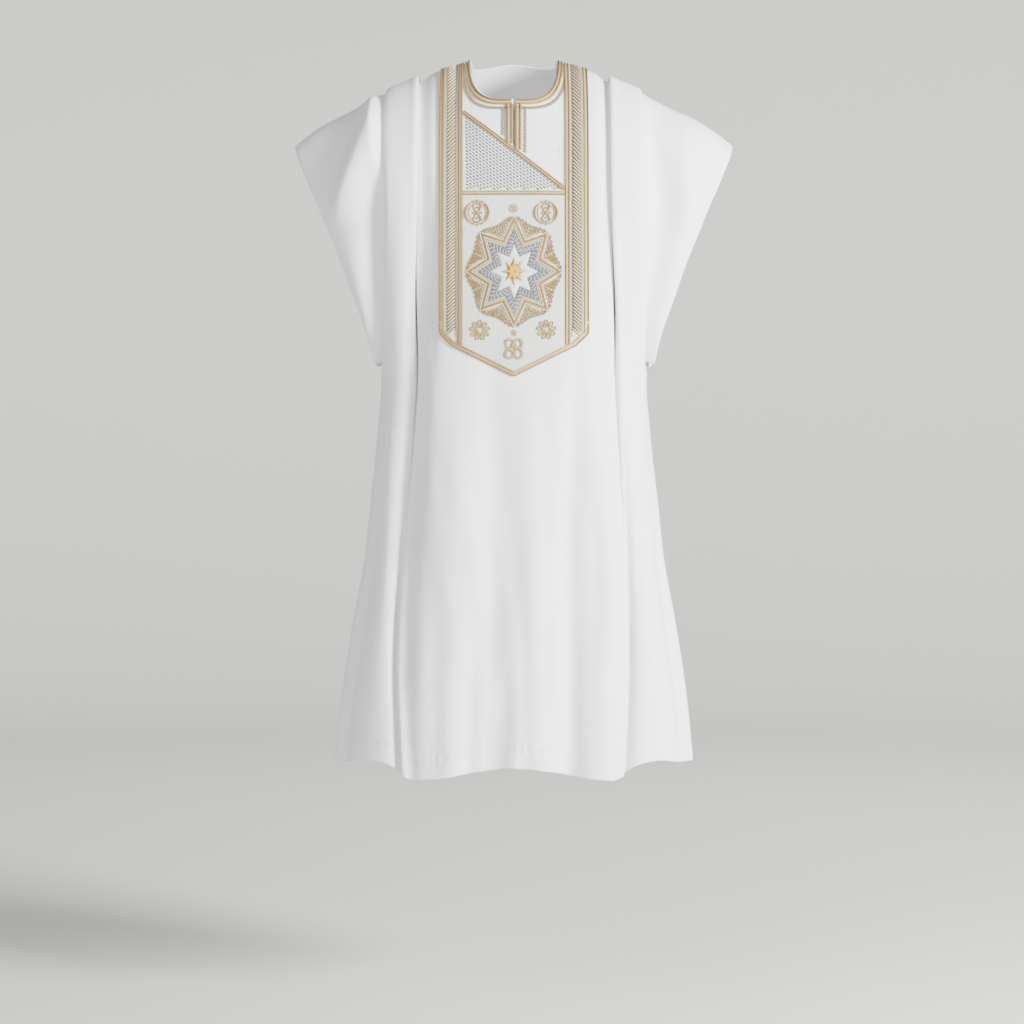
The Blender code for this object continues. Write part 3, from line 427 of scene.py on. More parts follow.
def hand_unevenness(x, s, side):
    """Slight waviness of hanging cloth: a few long sines that drift and fade in below the chest."""
    wander = np.sin(9.0 * s + 3.0 * side) + 0.6 * np.sin(17.0 * s - 31.0 * x)
    fine = np.sin(118.0 * x + 2.1 * wander + side) * 0.6 + np.sin(71.0 * x - 1.7 * wander) * 0.4
    cross = np.sin(46.0 * s + 22.0 * x + side) * np.sin(19.0 * s - 34.0 * x)
    grown = smooth_step(0.52, 0.95, s)
    return 0.0011 * fine * grown + 0.0007 * cross * smooth_step(0.45, 0.8, s)


# ---------------------------------------------------------------- the cloth's grids

NECK_STEPS = 30
YOKE_STEPS = 27
POCKET_STEPS = (2, 2, 2, 4, 2, 4, 2, 2)
PLEAT_STEPS = (5, 6, 5)
EDGE_STEPS = (4, 4, 4, 3)
ROW_COUNTS = (46, 54, 84, 26)
HEM_ZONE = 1.105
MOUTH_BLEND = 0.016
TROUGH_SHARE = 1.0
PLEAT_SHARES = (0.3, 0.65)
LEAN_LOW = -0.35
YOKE_CLEAR = 0.006
NECK_TRIALS = 600

# The pleat's turned edge: how far in from it, how far below, and the share of the side seam's width
TurnedEdge = namedtuple("TurnedEdge", "inward below seam_share")
TURNED_EDGE = (
    TurnedEdge(0.0080, 0.0, 0.940),
    TurnedEdge(0.0045, 0.0003, 0.968),
    TurnedEdge(0.0024, 0.0009, 0.987),
    TurnedEdge(0.0009, 0.0018, 0.9972),
    TurnedEdge(0.0, 0.0030, 1.0),
)


def drop_over(depth):
    """The drop along the shoulder's quarter turn that leads to a depth below the ridge."""
    return SHOULDER_LENGTH * 2.0 / math.pi * np.arccos(np.clip(1.0 - depth / SHOULDER_DROP, 0.0, 1.0))


def neck_start(x, side):
    """The drop at which the cloth begins: a full round curve about the neck, the ridge beside it."""
    inside = np.clip(1.0 - (np.abs(x) / NECK_HALF) ** NECK_ROUND, 0.0, 1.0)
    return drop_over(NECK_DEPTH[side] * inside ** (1.0 / NECK_ROUND))


def beside_neck(turn, offset, side):
    """A place beside the neck edge: reach (h + offset)*sin^(2/n), depth (d + offset)*cos^(2/n)."""
    power = 2.0 / NECK_ROUND
    x = (NECK_HALF + offset) * np.sign(np.sin(turn)) * np.abs(np.sin(turn)) ** power
    return x, drop_over((NECK_DEPTH[side] + offset) * np.abs(np.cos(turn)) ** power) + RIDGE_START


def neck_columns(first, side):
    """Places across whose points on the neck edge lie evenly along it, from first to the ridge."""
    turn = np.linspace(math.asin((first / NECK_HALF) ** (NECK_ROUND / 2.0)), math.pi / 2.0, NECK_TRIALS)
    x, s = beside_neck(turn, 0.0, side)
    reached = lengths(form(x, s, side))
    return np.interp(np.linspace(0.0, reached[-1], NECK_STEPS + 1), reached, x)


def row_drops(x, rows, side):
    """The drop of each row at a place across: it starts at the neck edge and evens out below."""
    return rows + neck_start(x, side) * np.clip(1.0 - rows / NECK_REACH, 0.0, 1.0)


def body_rows():
    """The drops of the rows beside the neck, close together at the hem, one at the slit's foot."""
    start = float(neck_start(0.0, FRONT))
    slit_row = (SLIT_END - start) / (1.0 - start / NECK_REACH)
    stops = (RIDGE_START, slit_row, ARMHOLE_END, HEM_ZONE, CLOTH_LENGTH)
    parts = [np.linspace(a, b, count, endpoint=False)
             for a, b, count in zip(stops, stops[1:], ROW_COUNTS)]
    return np.concatenate(parts + [np.array([CLOTH_LENGTH])])


def refined(controls, steps):
    """Columns on a smooth cubic curve through control columns, its tangents from chord lengths."""
    run = np.diff(controls, axis=0)
    chord = np.linalg.norm(run, axis=-1)[..., None] + 1e-9
    run = run / chord
    inner = (run[1:] * chord[:-1] + run[:-1] * chord[1:]) / (chord[1:] + chord[:-1])
    tangent = np.concatenate([run[:1], inner, run[-1:]])
    made = [controls[:1]]
    for k, count in enumerate(steps):
        t = (np.arange(1, count + 1) / count)[:, None, None]
        made.append(controls[k] * (1.0 + 2.0 * t) * (1.0 - t) ** 2
                    + chord[k] * tangent[k] * t * (1.0 - t) ** 2
                    + controls[k + 1] * t ** 2 * (3.0 - 2.0 * t)
                    + chord[k] * tangent[k + 1] * t ** 2 * (t - 1.0))
    return np.concatenate(made)


def nose_depth(turned):
    """How far in the round edge of a fold lies: further out as the cloth turns back on itself."""
    return np.where(turned > 0.0, 0.0009 - 0.0021 * turned, 0.0009 - 0.0012 * turned)


def side_width(s):
    """Half the robe's width at the side seam, found from the width at its own height."""
    half = np.full(np.shape(s), 0.21)
    for _ in range(6):
        half = look_up(HANG, "z", "half_width", height(half, s))
    return half


def pocket_steps(lean, depth):
    """The pocket's points along (d) and across (e) its own direction: lip, walls, floor, lip."""
    gap = POCKET_GAP / 2.0
    return (
        (-gap - POCKET_LIP, 0.0),
        (-gap - POCKET_LIP / 2.0, nose_depth(-np.sin(lean))),
        (-gap, LIP_DEPTH),
        (-gap, depth),
        (gap, depth),
        (gap, LIP_DEPTH),
        (gap + POCKET_LIP / 2.0, nose_depth(np.sin(lean))),
        (gap + POCKET_LIP, 0.0),
    )


def pleat_side(rows, side, hand):
    """The columns from beside the chest out to the side: pocket, pleat and turned or sewn edge."""
    inner = look_up(PLEAT, "s", "inner", rows)
    outer = look_up(PLEAT, "s", "outer", rows)
    depth = look_up(PLEAT, "s", "depth", rows)
    lean = np.radians(look_up(PLEAT, "s", "lean", rows))
    mouth_x = inner - (POCKET_GAP / 2.0 + POCKET_LIP) * np.cos(lean)
    trough = creased(hand * mouth_x, rows, side) * TROUGH_SHARE
    points = []
    for across, along in pocket_steps(lean, depth):
        x = inner + across * np.cos(lean) + along * np.sin(lean)
        out = across * np.sin(lean) - along * np.cos(lean) + trough
        points.append(form(hand * x, rows, side) + facing(hand * x, rows, side) * out[:, None])
    mouth_out = -(POCKET_GAP / 2.0 + POCKET_LIP) * np.sin(lean) + trough
    lift = np.maximum(np.sin(lean), LEAN_LOW) * PLEAT_LIFT
    start = inner + (POCKET_GAP / 2.0 + POCKET_LIP) * np.cos(lean)
    for share in PLEAT_SHARES:
        x = hand * (start + (outer - TURNED_EDGE[0].inward - start) * share)
        out = lift + trough * (PLEAT_SHARES[1] - share)
        points.append(form(x, rows, side) + facing(x, rows, side) * out[:, None])
    half = side_width(rows)
    opened = smooth_step(WING_END, ARMHOLE_END, rows)[:, None]
    for edge in TURNED_EDGE:
        x = hand * (outer - edge.inward)
        folded = form(x, rows, side) + facing(x, rows, side) * (lift - edge.below)[:, None]
        wrapped = form(hand * half * edge.seam_share, rows, side)
        if edge.seam_share == 1.0:
            wrapped[:, 1] = RIDGE_Y + side * SEAM * 0.6
        points.append(folded * (1.0 - opened) + wrapped * opened)
    return np.stack(points), mouth_x, mouth_out


def centre_side(rows, side, hand, mouth_x, mouth_out):
    """The columns from the middle out to the pocket's mouth, close together round the neck."""
    first = SLIT_HALF if side == FRONT else 0.0
    close = neck_columns(first, side)
    even = np.linspace(first, NECK_HALF, NECK_STEPS + 1)
    below = smooth_step(0.0, NECK_REACH, rows)[:, None]
    neck = close * (1.0 - below) + even * below
    shares = np.arange(1, YOKE_STEPS + 1) / YOKE_STEPS
    yoke_end = mouth_x - YOKE_CLEAR
    yoke = NECK_HALF + (yoke_end[:, None] - NECK_HALF) * shares
    x = np.concatenate([neck, yoke], axis=1)
    s = row_drops(x, rows[:, None], side)
    near = smooth_step(mouth_x[:, None] - MOUTH_BLEND - YOKE_CLEAR, mouth_x[:, None], x)
    lift = creased(hand * x, s, side) + hand_unevenness(hand * x, s, side)
    lift = lift * (1.0 - near) + mouth_out[:, None] * near
    return form(hand * x, s, side) + facing(hand * x, s, side) * lift[..., None]


def side_ripple(columns, rows, side, hand):
    """Soft hanging folds between pleat and side seam: bells along the columns' own share."""
    share = np.linspace(0.0, 1.0, columns)[None, :]
    s = rows[:, None]
    drift = 0.10 * np.sin(3.1 * s + hand + 2.0 * side)
    grown = smooth_step(0.62, 1.0, s)
    trough = np.exp(-((share - 0.42 - drift) / 0.13) ** 2) * -0.0075
    ridge = np.exp(-((share - 0.70 - 0.6 * drift) / 0.12) ** 2) * 0.0050
    ends = smooth_step(0.0, 0.18, share) * (1.0 - smooth_step(0.80, 0.97, share))
    return (trough + ridge) * grown * ends


def grid_facing(grid, inner_point):
    """The direction square to a grid at each point, pointing away from the inner point."""
    normal = unit(np.cross(np.gradient(grid, axis=0), np.gradient(grid, axis=1)))
    middle = (grid.shape[0] // 2, grid.shape[1] // 2)
    outward = np.dot(normal[middle], grid[middle] - np.array(inner_point))
    return normal if outward > 0.0 else -normal


def hem_pucker(across, s):
    """Small gathers beside the hem's stitch line: short waves that fade within a centimetre."""
    sizes = bpy.context.scene.boubou_cloth
    line = CLOTH_LENGTH - sizes.hem_height
    near = np.exp(-((s - line) / 0.009) ** 2)
    patches = 0.45 + 0.55 * np.sin(24.0 * across + 1.3) * np.sin(61.0 * across)
    waves = np.sin(2.0 * math.pi * across / 0.0135 + 1.7 * np.sin(90.0 * across))
    groove = -0.0005 * np.exp(-((s - line) / 0.0022) ** 2)
    return 0.00075 * near * waves * np.clip(patches, 0.1, 1.0) + groove


def side_pucker(across, s):
    """Small gathers beside the side facing's stitches: short waves that fade within a centimetre."""
    inward = np.minimum(across - across[:, :1], across[:, -1:] - across) - side_inset(s)
    near = np.exp(-(inward / 0.007) ** 2) * smooth_step(0.56, 0.64, s)
    waves = np.sin(2.0 * math.pi * s / 0.017 + 1.5 * np.sin(75.0 * s)) * (0.6 + 0.4 * np.sin(29.0 * s))
    return 0.0006 * near * waves - 0.0005 * np.exp(-(inward / 0.0022) ** 2) * smooth_step(0.56, 0.6, s)


def body_surface(side):
    """A body's outer grid, its map of metres across and down, and the cells that hold cloth."""
    rows = body_rows()
    halves = {}
    for hand in (-1.0, 1.0):
        controls, mouth_x, mouth_out = pleat_side(rows, side, hand)
        centre = centre_side(rows, side, hand, mouth_x, mouth_out)
        last = centre[:, -1][None]
        folded = refined(np.concatenate([last, controls]), POCKET_STEPS + PLEAT_STEPS + EDGE_STEPS)
        folded = folded.transpose(1, 0, 2)[:, 1:]
        tail = sum(PLEAT_STEPS[1:]) + sum(EDGE_STEPS)
        normal = grid_facing(folded[:, -tail:], BODY_MIDDLE)
        folded[:, -tail:] += normal * side_ripple(tail, rows, side, hand)[..., None]
        halves[hand] = np.concatenate([centre, folded], axis=1)
    right = halves[1.0] if side == FRONT else halves[1.0][:, 1:]
    grid = np.concatenate([halves[-1.0][:, ::-1], right], axis=1)
    normal = grid_facing(grid, BODY_MIDDLE)
    normal[0, np.abs(grid[0, :, 0]) > NECK_HALF - 0.001, 1] = 0.0
    closed = rows > ARMHOLE_END
    normal[closed, 0, 1] = 0.0
    normal[closed, -1, 1] = 0.0
    normal = unit(normal)
    across = lengths(grid)
    across = across - across[:, grid.shape[1] // 2][:, None]
    down = np.broadcast_to(rows[:, None], across.shape)
    puckers = hem_pucker(across, down) + side_pucker(across, down)
    grid = grid + normal * (CLOTH / 2.0 + puckers)[..., None]
    mask = np.ones((grid.shape[0] - 1, grid.shape[1] - 1), dtype=bool)
    if side == FRONT:
        mask[:ROW_COUNTS[0], grid.shape[1] // 2 - 1] = False
    return grid, np.stack([across, down], axis=-1), mask


SEAM_PITCH = 0.0032
SEAM_THREAD = 0.00036
NECK_SEAM = 0.0125
NECK_SEAM_TURN = 0.42 * math.pi
NECK_SEAM_STEPS = 300
WING_SEAM = 61
WING_ROWS = 104
TUCK_STEPS = (4, 3)
WING_STEPS = 58
TUCK_REACHES = (-WING_TUCK, -0.004, 0.003)
WING_ROUND = 0.050


def wing_lift(x, z, r, side, hand):
    """The lift of a wing's creases, each a skewed bell about its own line, none at the tuck."""
    lift = np.zeros(x.shape)
    for line in WING_CREASES[(side, hand)]:
        reach = look_up(line, "z", "reach", z)
        bell = skewed_bell(np.abs(x) - reach, look_up(line, "z", "inner", z),
                           look_up(line, "z", "outer", z))
        rise = look_up(line, "z", "lift", z)
        lift = lift + bell * rise
    slack = 0.0012 * np.sin(34.0 * np.abs(x) + 21.0 * z + hand) * np.sin(27.0 * z + side)
    return (lift * bpy.context.scene.boubou_cloth.fold_share + slack) * smooth_step(0.0, 0.14, r)


def wing_half(side, hand):
    """One half of a wing: rows from the ridge down, columns from the tuck to the open edge.

    Each row runs straight from the tucked edge to the open edge, rounded outward by r*r*(1-r).
    """
    s = np.linspace(0.0, WING_END, WING_ROWS)
    tau = s / WING_END
    pleat_outer = look_up(PLEAT, "s", "outer", s)
    lean = np.radians(look_up(PLEAT, "s", "lean", s))
    below = np.maximum(np.sin(lean), LEAN_LOW) * PLEAT_LIFT - WING_BELOW
    tuck = []
    for reach in TUCK_REACHES:
        x = hand * (pleat_outer + reach)
        tuck.append(form(x, s, side) + facing(x, s, side) * below[:, None])
    outward = facing(x, s, side)
    y = look_up(MOUTH, "tau", "front" if side == FRONT else "back", tau)
    edge = np.stack([hand * look_up(MOUTH, "tau", "x", tau), RIDGE_Y * (1.0 - tau) + y,
                     look_up(MOUTH, "tau", "z", tau)], axis=-1)
    tucked = refined(np.stack(tuck), TUCK_STEPS).transpose(1, 0, 2)
    r = np.linspace(0.0, 1.0, WING_STEPS + 1)[None, :]
    base = tuck[-1][:, None] * (1.0 - r[..., None]) + edge[:, None] * r[..., None]
    lift = WING_ROUND * r * r * (1.0 - r) + wing_lift(base[..., 0], base[..., 2], r, side, hand)
    lift = lift + 0.0007 * smooth_step(0.925, 0.940, r)
    open_part = base + outward[:, None] * lift[..., None]
    return np.concatenate([tucked[:, :-1], open_part], axis=1), s


def wing_surface(hand):
    """A wing's outer grid over the shoulder ridge, front half and back half in one."""
    front, s = wing_half(FRONT, hand)
    back = wing_half(BACK, hand)[0]
    ridge = (front[:1] + back[:1]) / 2.0
    grid = np.concatenate([front[:0:-1], ridge, back[1:]], axis=0)
    normal = grid_facing(grid, (hand * 0.2, RIDGE_Y, -0.4))
    across = lengths(grid)
    down = np.broadcast_to(np.concatenate([-s[:0:-1], s])[:, None], across.shape)
    mask = np.ones((grid.shape[0] - 1, grid.shape[1] - 1), dtype=bool)
    return grid + normal * CLOTH / 2.0, np.stack([across, down], axis=-1), mask


# ---------------------------------------------------------------- meshes

def fresh(name):
    """Removes an earlier piece of the same name, so that each operator can run again."""
    old = bpy.data.objects.get(name)
    if old is not None:
        bpy.data.objects.remove(old, do_unlink=True)


def mesh_piece(name, vertices, faces, finish, uv, smooth_angle=50.0):
    """A named object at the origin from arrays of points, faces and, for each corner, a UV."""
    fresh(name)
    mesh = bpy.data.meshes.new(name)
    mesh.from_pydata(vertices.tolist(), [], faces if isinstance(faces, list) else faces.tolist())
    corner = np.empty(len(mesh.loops), dtype=np.int64)
    mesh.loops.foreach_get("vertex_index", corner)
    layer = mesh.uv_layers.new(name="cloth")
    layer.data.foreach_set("uv", uv[corner].astype(np.float32).ravel())
    mesh.shade_smooth()
    mesh.set_sharp_from_angle(angle=math.radians(smooth_angle))
    mesh.materials.append(finish)
    piece = bpy.data.objects.new(name, mesh)
    bpy.context.collection.objects.link(piece)
    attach(piece, "root")
    return piece


def grid_cells(rows, columns, mask=None, wrap=False):
    """The four-sided cells of a grid of points; wrap joins its last column to its first."""
    index = np.arange(rows * columns).reshape(rows, columns)
    after = np.roll(index, -1, axis=1) if wrap else index[:, 1:]
    here = index if wrap else index[:, :-1]
    cells = np.stack([here[:-1], here[1:], after[1:], after[:-1]], axis=-1)
    return cells.reshape(-1, 4) if mask is None else cells[mask]


def grid_piece(name, grid, uv, mask, finish, outward, wall):
    """A sheet of cloth or a plate from a grid of outer points, its wall grown inward."""
    cells = grid_cells(grid.shape[0], grid.shape[1], mask)
    points = grid.reshape(-1, 3)
    middle = cells[len(cells) // 2]
    square = np.cross(points[middle[2]] - points[middle[0]], points[middle[3]] - points[middle[1]])
    if np.dot(square, np.array(outward)) < 0.0:
        cells = cells[:, ::-1]
    piece = mesh_piece(name, points, cells, finish, uv.reshape(-1, 2))
    wall_grown = piece.modifiers.new("wall", "SOLIDIFY")
    wall_grown.thickness = wall
    wall_grown.offset = -1.0
    return piece


def running_stitches(points, normals, pitch, radius):
    """Running stitches along a line: even dashes, each a little over half the pitch long."""
    length = lengths(points)
    start = np.arange(0.3, length[-1] / pitch - 1.0) * pitch
    places = start[:, None] + np.array([0.0, 0.2, 0.4, 0.6]) * pitch
    path = read_along(places, length, points)
    way = unit(read_along(places, length, normals))
    rise = radius * np.array([-0.4, 0.5, 0.5, -0.4])[:, None]
    return strands(path + way * rise, way, radius, 4)


def side_inset(s):
    """How far the side facing's stitches lie in from the side seam."""
    return np.interp(s, (0.58, 1.14), (0.017, 0.030))


def seam_stitches(name, grid, uv):
    """The stitches of a body's hem and of its two side facings, on the cloth's own grid."""
    normal = grid_facing(grid, BODY_MIDDLE)
    down = uv[:, 0, 1]
    line = CLOTH_LENGTH - bpy.context.scene.boubou_cloth.hem_height
    hem = int(np.argmin(np.abs(down - line)))
    made = [running_stitches(grid[hem], normal[hem], SEAM_PITCH, SEAM_THREAD)]
    rows = np.nonzero((down > ARMHOLE_END + 0.04) & (down < line))[0]
    across = uv[rows, :, 0]
    for place in (across[:, 0] + side_inset(down[rows]), across[:, -1] - side_inset(down[rows])):
        after = np.argmax(across > place[:, None], axis=1)
        row = np.arange(len(rows))
        share = (place - across[row, after - 1]) / (across[row, after] - across[row, after - 1])
        points, way = (each[rows, after - 1] * (1.0 - share[:, None]) + each[rows, after] * share[:, None]
                       for each in (grid, normal))
        made.append(running_stitches(points, way, SEAM_PITCH, SEAM_THREAD))
    embroidered(name, made, "white_thread", "white_cloth")


# ---------------------------------------------------------------- finishes

def new_finish(name, colour, roughness, metallic=0.0):
    """A fresh material with its colour and gloss set; returns it, its nodes, links and shader."""
    old = bpy.data.materials.get(name)
    if old is not None:
        bpy.data.materials.remove(old)
    made = bpy.data.materials.new(name)
    made.use_nodes = True
    shader = made.node_tree.nodes["Principled BSDF"]
    shader.inputs["Base Color"].default_value = (*colour, 1.0)
    shader.inputs["Roughness"].default_value = roughness
    shader.inputs["Metallic"].default_value = metallic
    made.diffuse_color = (*colour, 1.0)
    return made, made.node_tree.nodes, made.node_tree.links, shader


def shifted(colour, share):
    """A colour made lighter (share over 1) or darker (under 1)."""
    return tuple(min(1.0, channel * share) for channel in colour) + (1.0,)


def uv_place(nodes):
    """The piece's own map in metres: first along or across, then down."""
    place = nodes.new("ShaderNodeUVMap")
    place.uv_map = "cloth"
    return place.outputs["UV"]


def wave(nodes, links, place, pitch, direction, turn=0.0, distortion=0.0):
    """Even ridges on the map: one every pitch metres, square to the direction, turned if asked."""
    moved = nodes.new("ShaderNodeMapping")
    moved.inputs["Rotation"].default_value = (0.0, 0.0, turn)
    links.new(place, moved.inputs["Vector"])
    made = nodes.new("ShaderNodeTexWave")
    made.bands_direction = direction
    made.inputs["Scale"].default_value = 2.0 * math.pi / 20.0 / pitch
    made.inputs["Distortion"].default_value = distortion
    made.inputs["Detail"].default_value = 0.0
    links.new(moved.outputs["Vector"], made.inputs["Vector"])
    return made.outputs["Fac"]


def noise(nodes, links, place, scale, detail=2.0):
    """Cloudy noise on the given coordinates; scale is in features per metre."""
    made = nodes.new("ShaderNodeTexNoise")
    made.inputs["Scale"].default_value = scale
    made.inputs["Detail"].default_value = detail
    links.new(place, made.inputs["Vector"])
    return made.outputs["Fac"]


def bump(nodes, links, height_from, distance, strength, below=None):
    """A bump from a height, laid over an earlier one if given."""
    made = nodes.new("ShaderNodeBump")
    made.inputs["Distance"].default_value = distance
    made.inputs["Strength"].default_value = strength
    links.new(height_from, made.inputs["Height"])
    if below is not None:
        links.new(below, made.inputs["Normal"])
    return made.outputs["Normal"]


def tinted(nodes, links, share, dark, light):
    """A colour between a dark and a light one, by a share from 0 to 1."""
    ramp = nodes.new("ShaderNodeValToRGB")
    ramp.color_ramp.elements[0].position = 0.25
    ramp.color_ramp.elements[0].color = dark
    ramp.color_ramp.elements[1].position = 0.75
    ramp.color_ramp.elements[1].color = light
    links.new(share, ramp.inputs["Fac"])
    return ramp.outputs["Color"]


def white_cotton():
    """Fine plain-woven white cotton: crossed threads, faint slubs, a soft sheen from the finish."""
    sizes = bpy.context.scene.boubou_cloth
    made, nodes, links, shader = new_finish("white_cotton", sizes.colour, 0.62)
    place = uv_place(nodes)
    slub = noise(nodes, links, place, 260.0, 4.0)
    cloud = noise(nodes, links, place, 9.0, 3.0)
    links.new(tinted(nodes, links, cloud, shifted(sizes.colour, 0.965), shifted(sizes.colour, 1.02)),
              shader.inputs["Base Color"])
    warp = wave(nodes, links, place, sizes.weave_pitch, "X", distortion=0.4)
    weft = wave(nodes, links, place, sizes.weave_pitch, "Y", distortion=0.4)
    crossed = nodes.new("ShaderNodeMath")
    crossed.operation = "MULTIPLY"
    links.new(warp, crossed.inputs[0])
    links.new(weft, crossed.inputs[1])
    soft = bump(nodes, links, noise(nodes, links, place, 34.0, 2.0), 0.0011, 0.35)
    threads = bump(nodes, links, crossed.outputs[0], 0.00010, 0.25, soft)
    links.new(bump(nodes, links, slub, 0.00012, 0.30, threads), shader.inputs["Normal"])
    shader.inputs["Sheen Weight"].default_value = 0.22
    shader.inputs["Sheen Roughness"].default_value = 0.45
    shader.inputs["Specular IOR Level"].default_value = 0.35
    return made


def thread(name, colour, roughness=0.42, metallic=0.25, pitch=0.0009):
    """Twisted thread: slanted ridges along the strand, with a painted highlight on their tops and painted
    shade between them.
    """
    made, nodes, links, shader = new_finish(name, colour, roughness, metallic)
    place = uv_place(nodes)
    ply = wave(nodes, links, place, pitch, "X", turn=math.radians(38.0))
    # painted highlight and shade: the colour follows the ply ridges, lighter on each ridge and darker in the
    # grooves between them
    links.new(tinted(nodes, links, ply, shifted(colour, 0.74), shifted(colour, 1.16)),
              shader.inputs["Base Color"])
    fuzz = bump(nodes, links, noise(nodes, links, place, 900.0, 2.0), 0.00008, 0.4)
    links.new(bump(nodes, links, ply, 0.00022, 0.75, fuzz), shader.inputs["Normal"])
    shader.inputs["Sheen Weight"].default_value = 0.2
    return made


def satin(name, colour, roughness=0.38, metallic=0.15, pitch=0.0009, turn=0.0):
    """Satin stitch: close straight threads side by side, square to the run of the shape."""
    made, nodes, links, shader = new_finish(name, colour, roughness, metallic)
    place = uv_place(nodes)
    rows = wave(nodes, links, place, pitch, "X", turn=turn, distortion=0.8)
    uneven = noise(nodes, links, place, 420.0, 3.0)
    links.new(tinted(nodes, links, uneven, shifted(colour, 0.80), shifted(colour, 1.12)),
              shader.inputs["Base Color"])
    fuzz = bump(nodes, links, uneven, 0.00010, 0.35)
    links.new(bump(nodes, links, rows, 0.00024, 0.8, fuzz), shader.inputs["Normal"])
    shader.inputs["Sheen Weight"].default_value = 0.15
    return made


# ---------------------------------------------------------------- cloth pieces

class BOUBOU_OT_front(bpy.types.Operator):
    """Make the folded front, slit at the neck, with its pleats and hem"""
    bl_idname = "boubou.front"
    bl_label = "Front"

    def execute(self, context):
        grid, uv, mask = body_surface(FRONT)
        piece = grid_piece("robe_front", grid, uv, mask, white_cotton(), (0.0, -1.0, 0.0),
                           context.scene.boubou_cloth.wall)
        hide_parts("front_body")
        seam_stitches("front_stitches", grid, uv)
        return {"FINISHED"}


class BOUBOU_OT_back(bpy.types.Operator):
    """Make the folded back with its pleats and hem"""
    bl_idname = "boubou.back"
    bl_label = "Back"

    def execute(self, context):
        grid, uv, mask = body_surface(BACK)
        piece = grid_piece("robe_back", grid, uv, mask, bpy.data.materials["white_cotton"],
                           (0.0, 1.0, 0.0), context.scene.boubou_cloth.wall)
        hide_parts("back_body")
        seam_stitches("back_stitches", grid, uv)
        turn = np.linspace(-NECK_SEAM_TURN, NECK_SEAM_TURN, NECK_SEAM_STEPS)
        x, s = beside_neck(turn, NECK_SEAM, BACK)
        points, normal = laid(x, s, BACK, -context.scene.boubou_cloth.wall)
        row = running_stitches(points, -normal, SEAM_PITCH, SEAM_THREAD)
        embroidered("neck_facing_stitches", [row], "white_thread", "white_cloth")
        return {"FINISHED"}


class BOUBOU_OT_wings(bpy.types.Operator):
    """Make the two pointed wings folded up over the shoulders"""
    bl_idname = "boubou.wings"
    bl_label = "Wings"

    def execute(self, context):
        for name, node, hand in (("wing_left", "sleeve_left", -1.0), ("wing_right", "sleeve_right", 1.0)):
            grid, uv, mask = wing_surface(hand)
            piece = grid_piece(name, grid, uv, mask, bpy.data.materials["white_cotton"],
                               (hand, 0.0, 0.4), context.scene.boubou_cloth.wall)
            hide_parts(node)
            normal = grid_facing(grid, (hand * 0.2, RIDGE_Y, -0.4))
            row = running_stitches(grid[:, WING_SEAM], normal[:, WING_SEAM], SEAM_PITCH, SEAM_THREAD)
            embroidered(f"{name}_stitches", [row], "white_thread", "white_cloth")
        return {"FINISHED"}


# ---------------------------------------------------------------- threads and braids

LAY = 0.0003
PLATE = 0.0009
SATIN_PROFILE = ((0.0, 0.0), (0.05, 0.55), (0.22, 0.92), (0.5, 1.0), (0.78, 0.92), (0.95, 0.55), (1.0, 0.0))


def laid(x, s, side, lift):
    """Points on the cloth's outer face, lifted off it, and the direction the cloth faces there."""
    normal = facing(x, s, side)
    out = creased(x, s, side) + hand_unevenness(x, s, side) + CLOTH / 2.0 + lift
    return form(x, s, side) + normal * out[..., None], normal


def on_chest(x, z, lift):
    """Points on the front at a place across and a height, lifted off the cloth."""
    return laid(x, drop_at(x, z), FRONT, lift)


def strand_frame(points, normals, closed):
    """The run of each path, and the two directions square to it: across and up."""
    if closed:
        run = np.roll(points, -1, axis=1) - np.roll(points, 1, axis=1)
    else:
        run = np.gradient(points, axis=1)
    run = unit(run)
    across = unit(np.cross(run, normals))
    return run, across, np.cross(across, run)


def strands(points, normals, radius, sides=5, closed=False):
    """Round threads along equal paths: a ring of points square to the path at each step.

    Returns points, four-sided faces, end caps and a map of metres along and round the thread.
    """
    count, steps = points.shape[:2]
    across, up = strand_frame(points, normals, closed)[1:]
    turn = np.arange(sides) * 2.0 * math.pi / sides - math.pi / 2.0
    ring = (np.cos(turn)[None, None, :, None] * across[:, :, None]
            + np.sin(turn)[None, None, :, None] * up[:, :, None])
    radius = np.broadcast_to(radius, (count, steps))
    vertices = points[:, :, None] + ring * radius[..., None, None]
    index = np.arange(count * steps * sides).reshape(count, steps, sides)
    after = np.roll(index, -1, axis=1) if closed else index[:, 1:]
    here = index if closed else index[:, :-1]
    cells = np.stack([here, after, np.roll(after, -1, axis=2), np.roll(here, -1, axis=2)], axis=-1)
    caps = [] if closed else index[:, 0].tolist() + index[:, -1, ::-1].tolist()
    along = np.broadcast_to(lengths(points)[:, :, None], (count, steps, sides))
    around = radius[..., None] * (turn + math.pi / 2.0)
    uv = np.stack([along, np.broadcast_to(around, along.shape)], axis=-1)
    return vertices.reshape(-1, 3), cells.reshape(-1, 4), caps, uv.reshape(-1, 2)


def sewn(name, parts, finish):
    """One piece from several sets of threads or plates: their points, faces and maps joined."""
    first = 0
    vertices, faces, maps = [], [], []
    for points, cells, caps, uv in parts:
        vertices.append(points)
        faces.extend((cells + first).tolist())
        faces.extend([[corner + first for corner in cap] for cap in caps])
        maps.append(uv)
        first += len(points)
    return mesh_piece(name, np.concatenate(vertices), faces, finish, np.concatenate(maps), 60.0)


